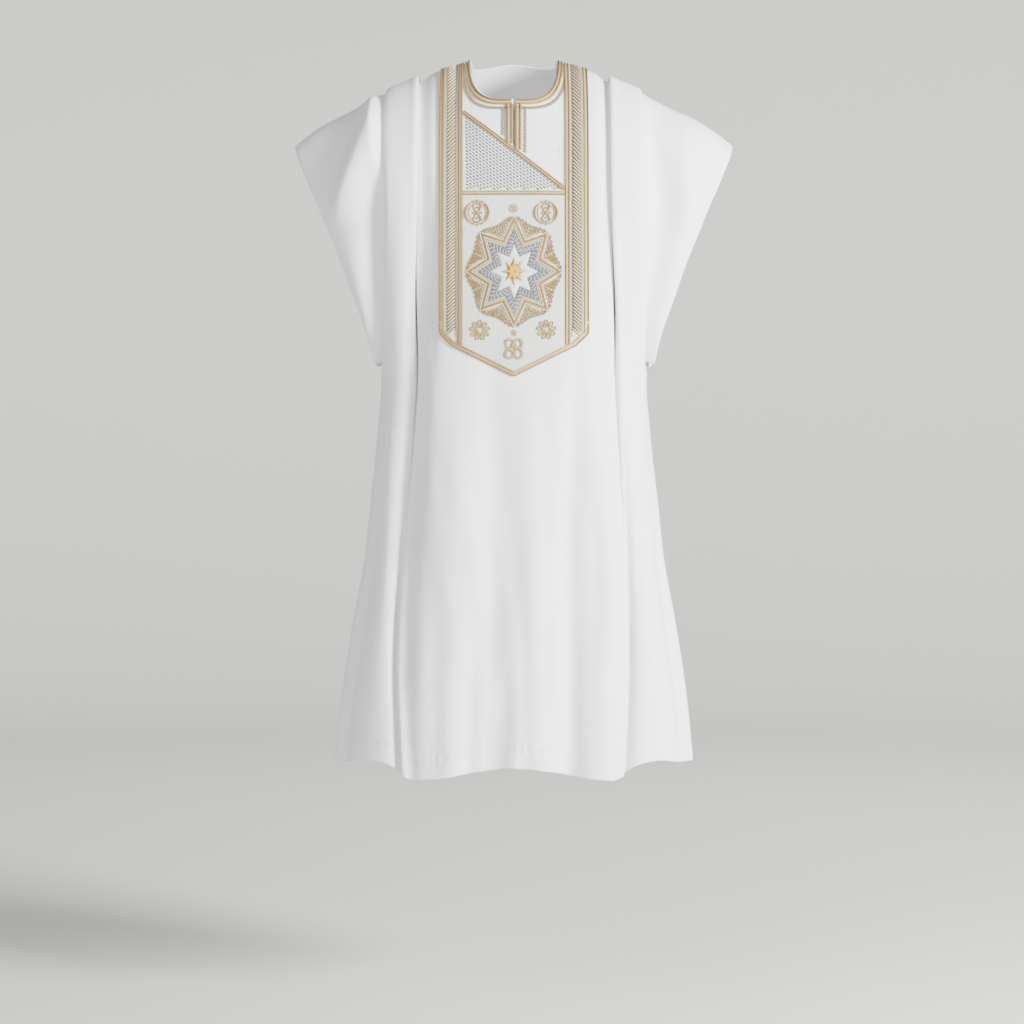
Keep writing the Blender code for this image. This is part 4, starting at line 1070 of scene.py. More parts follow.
def wound(points, normals, cord, pitch, closed=False):
    """Two strands wound round one path, once every pitch: a twisted cord of the given radius."""
    across, up = strand_frame(points, normals, closed)[1:]
    length = lengths(points)
    whole = length[:, -1:] + (np.linalg.norm(points[:, :1] - points[:, -1:], axis=-1) if closed else 0.0)
    pitch = whole / np.maximum(np.round(whole / pitch), 1.0) if closed else pitch
    made = []
    for start in (0.0, math.pi):
        turn = (2.0 * math.pi * length / pitch + start)[..., None]
        path = points + cord * 0.46 * (np.cos(turn) * across + np.sin(turn) * up)
        made.append(strands(path, normals, cord * 0.60, 5, closed))
    return made


def evenly(corners, step, round_off=0.0):
    """Even steps along straight runs through corner points; corners drawn in by a local mean."""
    corners = np.array(corners, dtype=float)
    length = lengths(corners)
    places = np.linspace(0.0, length[-1], max(2, int(round(length[-1] / step)) + 1))
    spread = np.linspace(-round_off, round_off, 7)
    near = np.clip(places[:, None] + spread[None, :], 0.0, length[-1])
    path = read_along(near, length, corners).mean(axis=1)
    path[0] = corners[0]
    path[-1] = corners[-1]
    return path


def beside(path, distance):
    """A path moved sideways on the chest, to the left of its run for a positive distance."""
    run = unit(np.gradient(path, axis=0))
    return path + np.stack([-run[:, 1], run[:, 0]], axis=-1) * distance


def ribbon(x, s, rise):
    """A plate or braid's ground as a closed band: top points at each rise, underside on the cloth."""
    rows, columns = x.shape
    top = laid(x, s, FRONT, np.broadcast_to(rise, x.shape) + LAY)[0]
    under = laid(x[:, ::-1], s[:, ::-1], FRONT, LAY)[0]
    ring = np.concatenate([top, under], axis=1)
    index = np.arange(rows * columns * 2).reshape(rows, columns * 2)
    here, after = index[:-1], index[1:]
    cells = np.stack([here, np.roll(here, -1, axis=1), np.roll(after, -1, axis=1), after], axis=-1)
    caps = [index[0, ::-1].tolist(), index[-1].tolist()]
    if x[0, -1] < x[0, 0]:
        cells = cells[..., ::-1]
        caps = [cap[::-1] for cap in caps]
    place = np.concatenate([np.stack([s, x], axis=-1), np.stack([s, x], axis=-1)[:, ::-1]], axis=1)
    return ring.reshape(-1, 3), cells.reshape(-1, 4), caps, place.reshape(-1, 2)


def tube(ring):
    """A closed run of rings, one row of points each, with both ends shut and a map in metres."""
    rows, columns = ring.shape[:2]
    index = np.arange(rows * columns).reshape(rows, columns)
    here, after = index[:-1], index[1:]
    cells = np.stack([here, after, np.roll(after, -1, axis=1), np.roll(here, -1, axis=1)], axis=-1)
    caps = [index[0].tolist(), index[-1, ::-1].tolist()]
    place = np.stack(np.meshgrid(lengths(ring[:, 0]), lengths(ring[0]), indexing="ij"), axis=-1)
    return ring.reshape(-1, 3), cells.reshape(-1, 4), caps, place.reshape(-1, 2)


def braid_ground(path, width):
    """The flat ground of a braid along a path on the chest: a strip with rounded edges."""
    shares = (-0.5, -0.42, -0.2, 0.2, 0.42, 0.5)
    rises = np.array([0.0002, 0.8, 1.0, 1.0, 0.8, 0.0002]) * 0.0011
    lines = np.stack([beside(path, share * width) for share in shares], axis=1)
    x = lines[..., 0]
    return ribbon(x, drop_at(x, lines[..., 1]), rises)


def finish_named(name):
    """One of the thread finishes, made the first time that it is asked for."""
    old = bpy.data.materials.get(name)
    if old is not None:
        return old
    sizes = bpy.context.scene.boubou_thread
    makers = {
        "gold_thread": lambda: thread(name, sizes.gold, 0.40, 0.35),
        "ochre_thread": lambda: thread(name, sizes.ochre, 0.42, 0.30),
        "cream_thread": lambda: thread(name, sizes.cream, 0.50, 0.0),
        "silver_thread": lambda: thread(name, sizes.silver, 0.45, 0.25),
        "grey_thread": lambda: thread(name, tuple(0.45 * part for part in sizes.silver), 0.5, 0.0),
        "rope_thread": lambda: thread(name, (0.66, 0.53, 0.29), 0.42, 0.1),
        # near-black brown satin: painted shade for the dark gaps between the rope's raised stitches
        "rope_satin": lambda: satin(name, (0.15, 0.12, 0.075), 0.6, 0.0),
        "white_thread": lambda: thread(name, (0.70, 0.71, 0.74), 0.5, 0.0),
        "cream_satin": lambda: satin(name, sizes.cream, 0.46, 0.0, 0.0011),
        "gold_satin": lambda: satin(name, sizes.gold, 0.38, 0.25),
        "ochre_satin": lambda: satin(name, sizes.ochre, 0.40, 0.2),
        "braid_satin": lambda: satin(name, (0.60, 0.47, 0.25), 0.42, 0.15, 0.0012),
        "silver_satin": lambda: satin(name, sizes.silver, 0.40, 0.25, 0.0014, math.radians(30.0)),
        "white_satin": lambda: satin(name, (0.86, 0.86, 0.86), 0.42, 0.0),
        "core_satin": lambda: satin(name, sizes.core, 0.36, 0.2),
        "panel_ground": lambda: satin(name, sizes.panel, 0.60, 0.0, 0.0015, math.radians(8.0)),
    }
    return makers[name]()


def embroidered(name, parts, finish, slot, *nodes):
    """A sewn piece with its finish; it stands for the given solids, which it hides. The slot argument is not
    used.
    """
    piece = sewn(name, parts, finish_named(finish))
    if nodes:
        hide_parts(*nodes)
    return piece


def lower_edge(x):
    """The height of the chest panel's pointed lower edge, along the middle of its border."""
    reach = np.abs(x)
    knee = POINT_Z + (KNEE_Z - POINT_Z) * reach / KNEE_X
    corner = KNEE_Z + (CORNER_Z - KNEE_Z) * (reach - KNEE_X) / (BAND_OUTER - KNEE_X)
    return np.where(reach < KNEE_X, knee, corner)


def slant_z(x):
    """The height of the slanted mouth of the chest pocket."""
    return SLANT_LEFT_Z + (SLANT_RIGHT_Z - SLANT_LEFT_Z) * (x + BAND_INNER) / (2.0 * BAND_INNER)


# Bands: places in from the outer edge
BandBraid = namedtuple("BandBraid", "places cord foot")
BAND_BRAID = BandBraid((0.0020, 0.0074), 0.00135, 0.0146)
INNER_BRAID = BandBraid((0.0318, 0.0362), 0.00115, 0.005)
BRAID_FINISHES = ("ochre_thread", "gold_thread")
BAND_ROWS = 150
GROUND_FOOT = 0.0062
LINE_FOOT = 0.0070
STITCH_FOOT = 0.0085
ROPE_SHADE_FOOT = 0.0165
LONG_STEP = 0.004
CORD_EDGE = 0.0012
LINE_CORD = 0.0007
LINE_TWIST = 0.0034
STRIP_RISES = (0.0008, 0.0017, 0.0017, 0.0008)
BAND_LINES = (0.0098, 0.0118, 0.0298)
ROPE_MIDDLE = 0.0196
ROPE_HALF = 0.0062
ROPE_PITCH = 0.0054
ROPE_LEAN = 0.75
ROPE_THREAD = 0.00110
# The dark strip under the rope paints the shade in the gaps between its stitches: share of the rope's half
# width, rise
ROPE_SHADE_PROFILE = ((-1.15, 0.0008), (-0.8, 0.0016), (0.0, 0.0018), (0.8, 0.0016), (1.15, 0.0008))
GREY_MIDDLE = 0.0272
GREY_HALF = 0.0011
GREY_PITCH = 0.0042
GREY_LEAN = 0.3
GREY_THREAD = 0.00062
SHOULDER_PITCH = 0.42
STEP = 0.0011
BAND_PROFILE = ((0.0002, 0.2), (0.0010, 1.0), (0.0045, 1.3), (0.0085, 1.0), (0.0110, 0.7), (0.0135, 0.9),
                (0.0185, 1.2), (0.0230, 0.9), (0.0265, 0.7), (0.0305, 0.8), (0.0340, 1.2), (0.0372, 0.9),
                (0.0374, 0.2))


def band_line(hand, place, foot_clear, step=STEP):
    """A path down a side band: its place across and its drops, even steps."""
    x = hand * (BAND_OUTER - place)
    foot = float(drop_at(np.array(x), lower_edge(np.array(x)) + foot_clear))
    s = np.linspace(BAND_START, foot, int(round((foot - BAND_START) / step)))
    return np.full(len(s), x), s


def slanted_stitches(hand, middle, half, pitch, lean, radius, lift):
    """A column of S-shaped stitches, each leaning down as it crosses; wider apart on the shoulder."""
    x_line, s_line = band_line(hand, middle, STITCH_FOOT)
    over = np.sin(np.clip(s_line / SHOULDER_LENGTH, 0.0, 1.0) * math.pi / 2.0)
    reached = np.cumsum(np.maximum(over, SHOULDER_PITCH)) * (s_line[1] - s_line[0]) / pitch
    s_line = np.interp(np.arange(1.0, reached[-1] - 1.0), reached, s_line)
    t = np.linspace(-1.0, 1.0, 7)[None, :]
    x = x_line[0] + half * np.sin(t * math.pi / 2.0) + np.zeros((len(s_line), 1))
    own_pitch = np.gradient(s_line)[:, None]
    s = s_line[:, None] + own_pitch * lean * (t + 0.25 * np.sin(t * math.pi))
    rise = np.broadcast_to(lift + radius + 0.0003 * (1.0 - t * t), x.shape)
    points, normals = laid(x, s, FRONT, rise)
    return strands(points, normals, radius * (1.0 - 0.55 * t ** 4), 5)


class BOUBOU_OT_bands(bpy.types.Operator):
    """Make the two side bands: double braid, rope and lattice stitches, inner braid"""
    bl_idname = "boubou.bands"
    bl_label = "Side bands"

    def execute(self, context):
        sizes = context.scene.boubou_thread
        for side_name, hand in (("left", -1.0), ("right", 1.0)):
            node = f"band_{side_name}"
            profile = np.array(BAND_PROFILE)
            feet = [band_line(hand, place, GROUND_FOOT)[1][-1] for place in profile[:, 0]]
            s = np.linspace(BAND_START, feet, BAND_ROWS)
            x = np.broadcast_to(hand * (BAND_OUTER - profile[:, 0]), s.shape)
            ground = ribbon(x, s, profile[:, 1] * 0.001)
            embroidered(f"{node}_ground", [ground], "cream_satin", "cream_ground", node)
            made = {"gold_thread": [], "ochre_thread": [], "cream_thread": [], "silver_thread": []}
            strips = []
            for places, cord, foot in (BAND_BRAID, INNER_BRAID):
                edges = np.array((places[0] - CORD_EDGE, *places, places[1] + CORD_EDGE))
                s = band_line(hand, places[0], foot, LONG_STEP)[1]
                x, s = np.broadcast_arrays(hand * (BAND_OUTER - edges), s[:, None])
                strips.append(ribbon(x, s, np.array(STRIP_RISES)))
                for place, finish in zip(places, BRAID_FINISHES):
                    points, normals = laid(*band_line(hand, place, foot), FRONT, LAY + 0.0012 + cord * 0.8)
                    made[finish].extend(wound(points[None], normals[None], cord, sizes.twist))
            embroidered(f"{node}_strips", strips, "braid_satin", "gold_braid")
            for place in BAND_LINES:
                points, normals = laid(*band_line(hand, place, LINE_FOOT), FRONT, LAY + 0.0009 + 0.0005)
                made["cream_thread"].extend(wound(points[None], normals[None], LINE_CORD, LINE_TWIST))
            rope = slanted_stitches(hand, ROPE_MIDDLE, ROPE_HALF, ROPE_PITCH, ROPE_LEAN * hand, ROPE_THREAD,
                                    LAY + 0.0013)
            embroidered(f"{node}_rope", [rope], "rope_thread", "gold_braid")
            made["silver_thread"].append(slanted_stitches(hand, GREY_MIDDLE, GREY_HALF, GREY_PITCH,
                                                          GREY_LEAN, GREY_THREAD, LAY + 0.0008))
            # The dark strip under the rope is painted shade: it darkens the gaps between the rope's stitches
            shares, rises = np.array(ROPE_SHADE_PROFILE).T
            x, s = band_line(hand, ROPE_MIDDLE, ROPE_SHADE_FOOT, LONG_STEP)
            x, s = np.broadcast_arrays(x[:, None] + shares * ROPE_HALF, s[:, None])
            embroidered(f"{node}_rope_ground", [ribbon(x, s, rises)], "rope_satin", "silver_stitch")
            for finish, slot in (("gold_thread", "gold_braid"), ("ochre_thread", "gold_braid"),
                                 ("cream_thread", "cream_ground"), ("silver_thread", "silver_stitch")):
                embroidered(f"{node}_{finish.split('_')[0]}", made[finish], finish, slot)
        return {"FINISHED"}


# Braids round the neck and on the chest
NECK_PROFILE = ((0.0010, 0.0002), (0.0016, 0.0010), (0.0040, 0.0012), (0.0066, 0.0012),
                (0.0088, 0.0009), (0.0094, 0.0002))
NECK_CORDS = (("ochre", 0.0026, 0.00165), ("gold", 0.0078, 0.00160))
ROW_REACH = 0.0020
ROW_THREAD = 1.9
DOT_REACH = 0.0006
DOT_THREAD = 1.2
NECK_ROW = 0.0140
NECK_DOTS = 0.0164
SLIT_ROW = 0.0176
SLIT_ROW_TOP = -0.0890
SLIT_DOTS_IN = 0.0028
FACING_START = 0.006
FACING_CORNERS = ((0.0012, -0.0012), (0.0002, -0.0150), (0.0019, -0.0150), (0.0019, -0.0012))
Braid = namedtuple("Braid", "width apart cord")
SLIT_BRAID = Braid(0.0106, 0.0036, 0.00150)
SLIT_BRAID_MIDDLE = 0.0066
LEVEL_BRAID = Braid(0.0072, 0.0020, 0.00115)
SLANTED_BRAID = Braid(0.0074, 0.0021, 0.00120)
BORDER_BRAID = Braid(0.0092, (BAND_BRAID.places[1] - BAND_BRAID.places[0]) / 2.0, BAND_BRAID.cord)
EDGE_CLEAR = 0.0006
BRAID_STEP = 0.0010
ZIGZAG_PITCH = 0.0024
ROUND_TRIALS = 1500
LIP_CLEAR = 0.0022
GROUND_STEP = 0.002


def neck_round(offset, lift, step):
    """A line all round the neck from one lip of the slit over the back to the other lip."""
    gap = math.asin(((SLIT_HALF + LIP_CLEAR) / (NECK_HALF + offset)) ** (NECK_ROUND / 2.0))
    right = np.linspace(gap, math.pi / 2.0, ROUND_TRIALS, endpoint=False)
    back = np.linspace(math.pi / 2.0, -math.pi / 2.0, ROUND_TRIALS, endpoint=False)
    left = np.linspace(-math.pi / 2.0, -gap, ROUND_TRIALS)
    parts = [laid(*beside_neck(turn, offset, side), side, lift)
             for turn, side in ((right, FRONT), (back, BACK), (left, FRONT))]
    points = np.concatenate([part[0] for part in parts])
    normals = np.concatenate([part[1] for part in parts])
    length = lengths(points)
    even = np.linspace(0.0, length[-1], int(length[-1] / step))
    return read_along(even, length, points), unit(read_along(even, length, normals))


def zigzag(points, normals, reach, radius):
    """A row of short stitches that lean one way and the other along a line."""
    run, across = strand_frame(points[None], normals[None], False)[:2]
    run, across = run[0], across[0]
    turn = np.where(np.arange(len(points)) % 2 == 0, 1.0, -1.0)[:, None]
    t = np.array([-1.0, -0.3, 0.3, 1.0])[None, :, None]
    path = points[:, None] + (across * turn + 0.55 * run)[:, None] * t * reach
    path = path + normals[:, None] * (radius + 0.0003 * (1.0 - t * t))
    return strands(path, np.broadcast_to(normals[:, None], path.shape), radius, 4)


class BOUBOU_OT_neck_braid(bpy.types.Operator):
    """Make the braid round the neck and its dotted row"""
    bl_idname = "boubou.neck_braid"
    bl_label = "Neck braid"

    def execute(self, context):
        sizes = context.scene.boubou_thread
        lines = [neck_round(offset, LAY + rise, GROUND_STEP)[0] for offset, rise in NECK_PROFILE]
        lines += [neck_round(offset, LAY * 0.6, GROUND_STEP)[0] for offset, _ in NECK_PROFILE[::-1]]
        pick = np.linspace(0.0, 1.0, min(len(line) for line in lines))
        ring = [read_along(pick, np.linspace(0.0, 1.0, len(line)), line) for line in lines]
        ground = tube(np.stack(ring, axis=1))
        embroidered("neck_braid_ground", [ground], "braid_satin", "gold_braid", "neck_braid")
        for finish, offset, cord in NECK_CORDS:
            points, normals = neck_round(offset, LAY + 0.0008 + cord * 0.7, BRAID_STEP)
            embroidered(f"neck_braid_{finish}", wound(points[None], normals[None], cord, sizes.twist),
                        f"{finish}_thread", "gold_braid")
        row = zigzag(*neck_round(NECK_ROW, LAY, ZIGZAG_PITCH), ROW_REACH, sizes.stitch * ROW_THREAD)
        embroidered("neck_row_gold", [row], "ochre_thread", "gold_braid")
        row = zigzag(*neck_round(NECK_DOTS, LAY, ZIGZAG_PITCH), DOT_REACH, sizes.stitch * DOT_THREAD)
        embroidered("neck_row_silver", [row], "silver_thread", "silver_stitch")
        return {"FINISHED"}


FACING_STEPS = 40


class BOUBOU_OT_chest_braids(bpy.types.Operator):
    """Make the braids beside the slit, the slanted and level braids and the pointed border"""
    bl_idname = "boubou.chest_braids"
    bl_label = "Chest braids"

    def sew(self, name, path, braid):
        """One braid: its ground, an ochre cord and a gold cord; stands for the solid of its name."""
        twist = bpy.context.scene.boubou_thread.twist
        ground = braid_ground(path[::4], braid.width)
        embroidered(f"{name}_ground", [ground], "braid_satin", "gold_braid", name)
        for finish, offset in (("ochre", -braid.apart), ("gold", braid.apart)):
            line = beside(path, offset)
            points, normals = on_chest(line[:, 0], line[:, 1], LAY + 0.0006 + braid.cord)
            embroidered(f"{name}_{finish}", wound(points[None], normals[None], braid.cord, twist),
                        f"{finish}_thread", "gold_braid")

    def slit_facing(self, side_name, hand):
        """The cloth turned in behind one lip of the slit, square to the chest."""
        s = np.linspace(float(neck_start(0.0, FRONT)) + FACING_START, SLIT_END, FACING_STEPS)
        ring = np.stack([laid(np.full(len(s), hand * x), s, FRONT, np.full(len(s), lift))[0]
                         for x, lift in FACING_CORNERS[::int(-hand)]], axis=1)
        piece = sewn(f"slit_facing_{side_name}", [tube(ring)], bpy.data.materials["white_cotton"])

    def slit_row(self, name, place, low, reach, radius, finish, slot):
        """A row of short stitches that runs down beside the slit."""
        row = evenly(((place, SLIT_ROW_TOP), (place, low)), ZIGZAG_PITCH)
        points, normals = on_chest(row[:, 0], row[:, 1], LAY)
        embroidered(name, [zigzag(points, normals, reach, radius)], finish, slot)

    def execute(self, context):
        stitch = context.scene.boubou_thread.stitch
        for side_name, hand in (("left", -1.0), ("right", 1.0)):
            middle = hand * SLIT_BRAID_MIDDLE
            foot = float(slant_z(middle)) + 0.0040
            path = evenly(((middle, SLIT_BRAID_TOP), (middle, foot)), BRAID_STEP)
            self.sew(f"slit_braid_{side_name}", path, SLIT_BRAID)
            place = hand * SLIT_ROW
            low = float(slant_z(place)) + 0.010
            self.slit_row(f"slit_row_{side_name}", place, low, ROW_REACH, stitch * ROW_THREAD,
                          "ochre_thread", "gold_braid")
            self.slit_row(f"slit_dots_{side_name}", place - hand * SLIT_DOTS_IN, low, DOT_REACH, stitch,
                          "silver_thread", "silver_stitch")
            self.slit_facing(side_name, hand)
        edge = BAND_INNER - EDGE_CLEAR
        path = evenly(((-edge, LEVEL_Z), (edge, LEVEL_Z)), BRAID_STEP)
        self.sew("level_braid", path, LEVEL_BRAID)
        start, end = -edge, edge - 0.0004
        path = evenly(((start, float(slant_z(start))), (end, float(slant_z(end)))), BRAID_STEP)
        self.sew("slanted_braid", path, SLANTED_BRAID)
        outer = BAND_OUTER - sum(BAND_BRAID.places) / 2.0
        corners = [(x, float(lower_edge(x))) for x in (-outer, -KNEE_X, 0.0, KNEE_X, outer)]
        ends = [(side * outer, corners[0][1] + BAND_BRAID.foot) for side in (-1.0, 1.0)]
        path = evenly([ends[0]] + corners + [ends[1]], BRAID_STEP, 0.002)
        self.sew("point_border", path, BORDER_BRAID)
        return {"FINISHED"}


# ---------------------------------------------------------------- stitched field and panel

HATCH_PITCH = 0.0041
HATCH_LENGTH = 0.0054
HATCH_STEP = 0.0066
HATCH_LINES = 60
HATCH_LEAD = 10
HATCH_SHARES = (-0.5, -0.25, 0.25, 0.5)

# The field's edges: its clear width at the left and right, its foot and top beside the braids
FIELD_LEFT = -BAND_INNER + 0.0006
FIELD_RIGHT = BAND_INNER - 0.0140
FIELD_FOOT = LEVEL_Z + 0.0040
FIELD_TOP_GAP = 0.0050
FIELD_RISE = 0.0006
FIELD_CELLS = (20, 30)

# The chest panel's ground: rows and columns, gaps to braid and border, and its quilting
PANEL_CELLS = (110, 72)
PANEL_TOP_GAP = 0.0040
PANEL_FOOT_GAP = 0.0046
QUILT_DEPTH = 0.00010
QUILT_WAVE = 900.0


def between(x_row, top, foot, rows):
    """A net of places on the chest: columns at x_row, rows spread from a top line to a foot line."""
    share = np.linspace(0.0, 1.0, rows)[:, None]
    z = top + (foot - top) * share
    return np.broadcast_to(x_row, z.shape), z


class BOUBOU_OT_stitched_field(bpy.types.Operator):
    """Make the three-cornered field of slanted silver and white running stitches"""
    bl_idname = "boubou.stitched_field"
    bl_label = "Stitched field"

    def execute(self, context):
        x_row = np.linspace(FIELD_LEFT, FIELD_RIGHT, FIELD_CELLS[1])
        top = np.maximum(slant_z(x_row) - FIELD_TOP_GAP, FIELD_FOOT + 0.0006)
        x, z = between(x_row, top, FIELD_FOOT, FIELD_CELLS[0])
        ground = ribbon(x, drop_at(x, z), np.full(z.shape, FIELD_RISE))
        embroidered("stitched_field_ground", [ground], "white_satin", "silver_stitch", "stitched_field")
        slope = math.atan2(SLANT_RIGHT_Z - SLANT_LEFT_Z, 2.0 * BAND_INNER)
        run = np.array([math.cos(slope), math.sin(slope)])
        square = np.array([run[1], -run[0]])
        corner = np.array([FIELD_LEFT, float(slant_z(FIELD_LEFT)) - 0.0070])
        line, place = np.meshgrid(np.arange(HATCH_LINES), np.arange(-HATCH_LEAD, HATCH_LINES), indexing="ij")
        for finish, offset, radius in (("grey_thread", 0.0, 0.00088), ("white_satin", 0.5, 0.00052)):
            stagger = (line % 2) * 0.5 + offset
            middle = (corner + square * ((line + offset) * HATCH_PITCH)[..., None]
                      + run * ((place + stagger) * HATCH_STEP)[..., None])
            inside = (middle[..., 0] > FIELD_LEFT + 0.0024) & (middle[..., 1] > FIELD_FOOT + 0.0016)
            inside &= middle[..., 1] < slant_z(middle[..., 0]) - 0.0062
            middle = middle[inside]
            t = np.array(HATCH_SHARES)[None, :, None]
            path = middle[:, None] + run * t * HATCH_LENGTH
            rise = LAY + FIELD_RISE + radius * (0.8 - 4.0 * t[..., 0] ** 2)
            rise = np.broadcast_to(rise, path.shape[:2])
            points, normals = on_chest(path[..., 0], path[..., 1], rise)
            stitches = strands(points, normals, radius * np.array([0.6, 1.0, 1.0, 0.6]), 5)
            embroidered(f"stitched_field_{finish.split('_')[0]}", [stitches], finish, "silver_stitch")
        return {"FINISHED"}


class BOUBOU_OT_chest_panel(bpy.types.Operator):
    """Make the pale ground of the chest panel, closely stitched, between braid and border"""
    bl_idname = "boubou.chest_panel"
    bl_label = "Chest panel"

    def execute(self, context):
        x_row = np.linspace(FIELD_LEFT, -FIELD_LEFT, PANEL_CELLS[1])
        foot = lower_edge(x_row) + PANEL_FOOT_GAP
        x, z = between(x_row, LEVEL_Z - PANEL_TOP_GAP, foot, PANEL_CELLS[0])
        quilted = PLATE + QUILT_DEPTH * np.sin(x * QUILT_WAVE) * np.sin(z * QUILT_WAVE)
        ground = ribbon(x, drop_at(x, z), quilted)
        embroidered("chest_panel_ground", [ground], "panel_ground", "cream_ground", "chest_panel")
        return {"FINISHED"}


# ---------------------------------------------------------------- star and motifs

PANEL_TOP = LAY + PLATE
STAR_POINTS = 8
STAR_BASE = PANEL_TOP - 0.0001
NOTCH = 0.615
STAR_CORD_STEPS = 26
RING_STEPS = 12
SCALLOP_REACH = 0.925
SCALLOP_WAVE = 0.045
LACE_TURNS = 10
LACE_THREAD = 1.45

# The star's satin rings: each outline's reach at the tips and at the notches, as shares of the star
StarRing = namedtuple("StarRing", "name outer inner rise finish slot nodes")
STAR_RINGS = (
    StarRing("star_outer_ochre", (0.985, 0.605), (0.878, 0.537), 0.0019, "ochre_satin", "gold_braid",
             ("star_outer",)),
    StarRing("star_outer_gold", (0.858, 0.524), (0.800, 0.490), 0.0021, "gold_satin", "gold_braid", ()),
    StarRing("star_grey", (0.780, 0.478), (0.500, 0.285), 0.0019, "silver_satin", "silver_stitch",
             ("star_inner",)),
    StarRing("star_white", (0.500, 0.285), (0.150, 0.110), 0.0025, "white_satin", "cream_ground", ()),
)
GREY_RING = STAR_RINGS[2]
StarCord = namedtuple("StarCord", "tip notch lift cord twist")
STAR_CORDS = (
    StarCord(1.0, NOTCH, 0.0014, 0.00085, 0.0034),
    StarCord(0.868, 0.530, 0.0021, 0.00080, 0.0034),
    StarCord(0.790, 0.485, 0.0022, 0.00050, 0.0028),
)

# The core: reach of its long and short rays, their swell and their lift
CORE_REACH = (0.270, 0.150)
CORE_SWELL = 0.0019
CORE_LIFT = 0.0022
RAY_STEPS = 14

# The stipple: rows across the grey ring, stitches along it, their half length
STIPPLE_ROWS = 5
STIPPLE_COUNT = 750
STIPPLE_HALF = 0.00075
STIPPLE_SEED = 7
STIPPLE_FINISHES = ((0, "cream", 0.00042), (1, "grey", 0.00055))

# The lace: size of the loops and of the rim's, and each row's place between two tips with its count
LACE_LOOP = 0.00235
RIM_LOOP = 0.0022
RIM_LOOPS = 72
LACE_ROWS = ((0.09, 1), (0.17, 1), (0.25, 2), (0.33, 3), (0.415, 4), (0.5, 4),
             (0.585, 4), (0.67, 3), (0.75, 2), (0.83, 1), (0.91, 1))


def on_star(angle, share):
    """A place about the star's middle: clockwise from the top, at a share of the star's reach."""
    return np.stack([STAR_REACH[0] * np.sin(angle) * share, STAR_REACH[1] * np.cos(angle) * share], axis=-1)


def star_line(tip, notch, steps):
    """A star's outline on the chest: straight from each tip to each notch."""
    corner = np.arange(2 * STAR_POINTS + 1)
    corners = on_star(corner * math.pi / STAR_POINTS, np.where(corner % 2 == 0, tip, notch))
    t = (np.arange(steps) / steps)[None, :, None]
    line = corners[:-1, None] * (1.0 - t) + corners[1:, None] * t
    return line.reshape(-1, 2) + np.array(STAR_MIDDLE)


def satin_band(outer, inner, base, rise):
    """A raised ring between two outlines: rounded on top, flat beneath, closed all round."""
    q = np.array([row[0] for row in SATIN_PROFILE])
    h = np.array([row[1] for row in SATIN_PROFILE])
    flat = outer[:, None] * (1.0 - q[None, :, None]) + inner[:, None] * q[None, :, None]
    points = on_chest(flat[..., 0], flat[..., 1], base + rise * np.broadcast_to(h, flat.shape[:2]))[0]
    count, columns = points.shape[:2]
    index = np.arange(count * columns).reshape(count, columns)
    after = np.roll(index, -1, axis=0)
    cells = np.stack([index, after, np.roll(after, -1, axis=1), np.roll(index, -1, axis=1)], axis=-1)
    step = np.linalg.norm(np.roll(outer, -1, axis=0) - outer, axis=-1)
    along = np.concatenate([[0.0], np.cumsum(step)[:-1]])
    width = np.linalg.norm(outer - inner, axis=-1)
    uv = np.stack([np.broadcast_to(along[:, None], (count, columns)), width[:, None] * q[None, :]], axis=-1)
    return points.reshape(-1, 3), cells.reshape(-1, 4), [], uv.reshape(-1, 2)


def loops(centres, reach, radius, base, count=12, lean=0.0):
    """Small rings of thread on the chest, one at each centre, a little oval along its lean."""
    turn = np.arange(count) * 2.0 * math.pi / count
    reach = np.broadcast_to(np.asarray(reach, dtype=float), (len(centres),))[:, None]
    lean = np.broadcast_to(np.asarray(lean, dtype=float), (len(centres),))[:, None]
    long_way, short_way = 1.12 * np.cos(turn)[None, :], 0.92 * np.sin(turn)[None, :]
    x = centres[:, :1] + reach * (long_way * np.cos(lean) - short_way * np.sin(lean))
    z = centres[:, 1:] + reach * (long_way * np.sin(lean) + short_way * np.cos(lean))
    points, normals = on_chest(x, z, base + radius * 0.9)
    return strands(points, normals, radius, 5, closed=True)


def curve_on_chest(middle, x, z, radius, base, closed=False, hump=0.0):
    """Threads along curves given about a middle: arrays of paths by steps."""
    points, normals = on_chest(middle[0] + x, middle[1] + z, base + radius * 0.9 + hump)
    return strands(points, normals, radius, 6, closed)


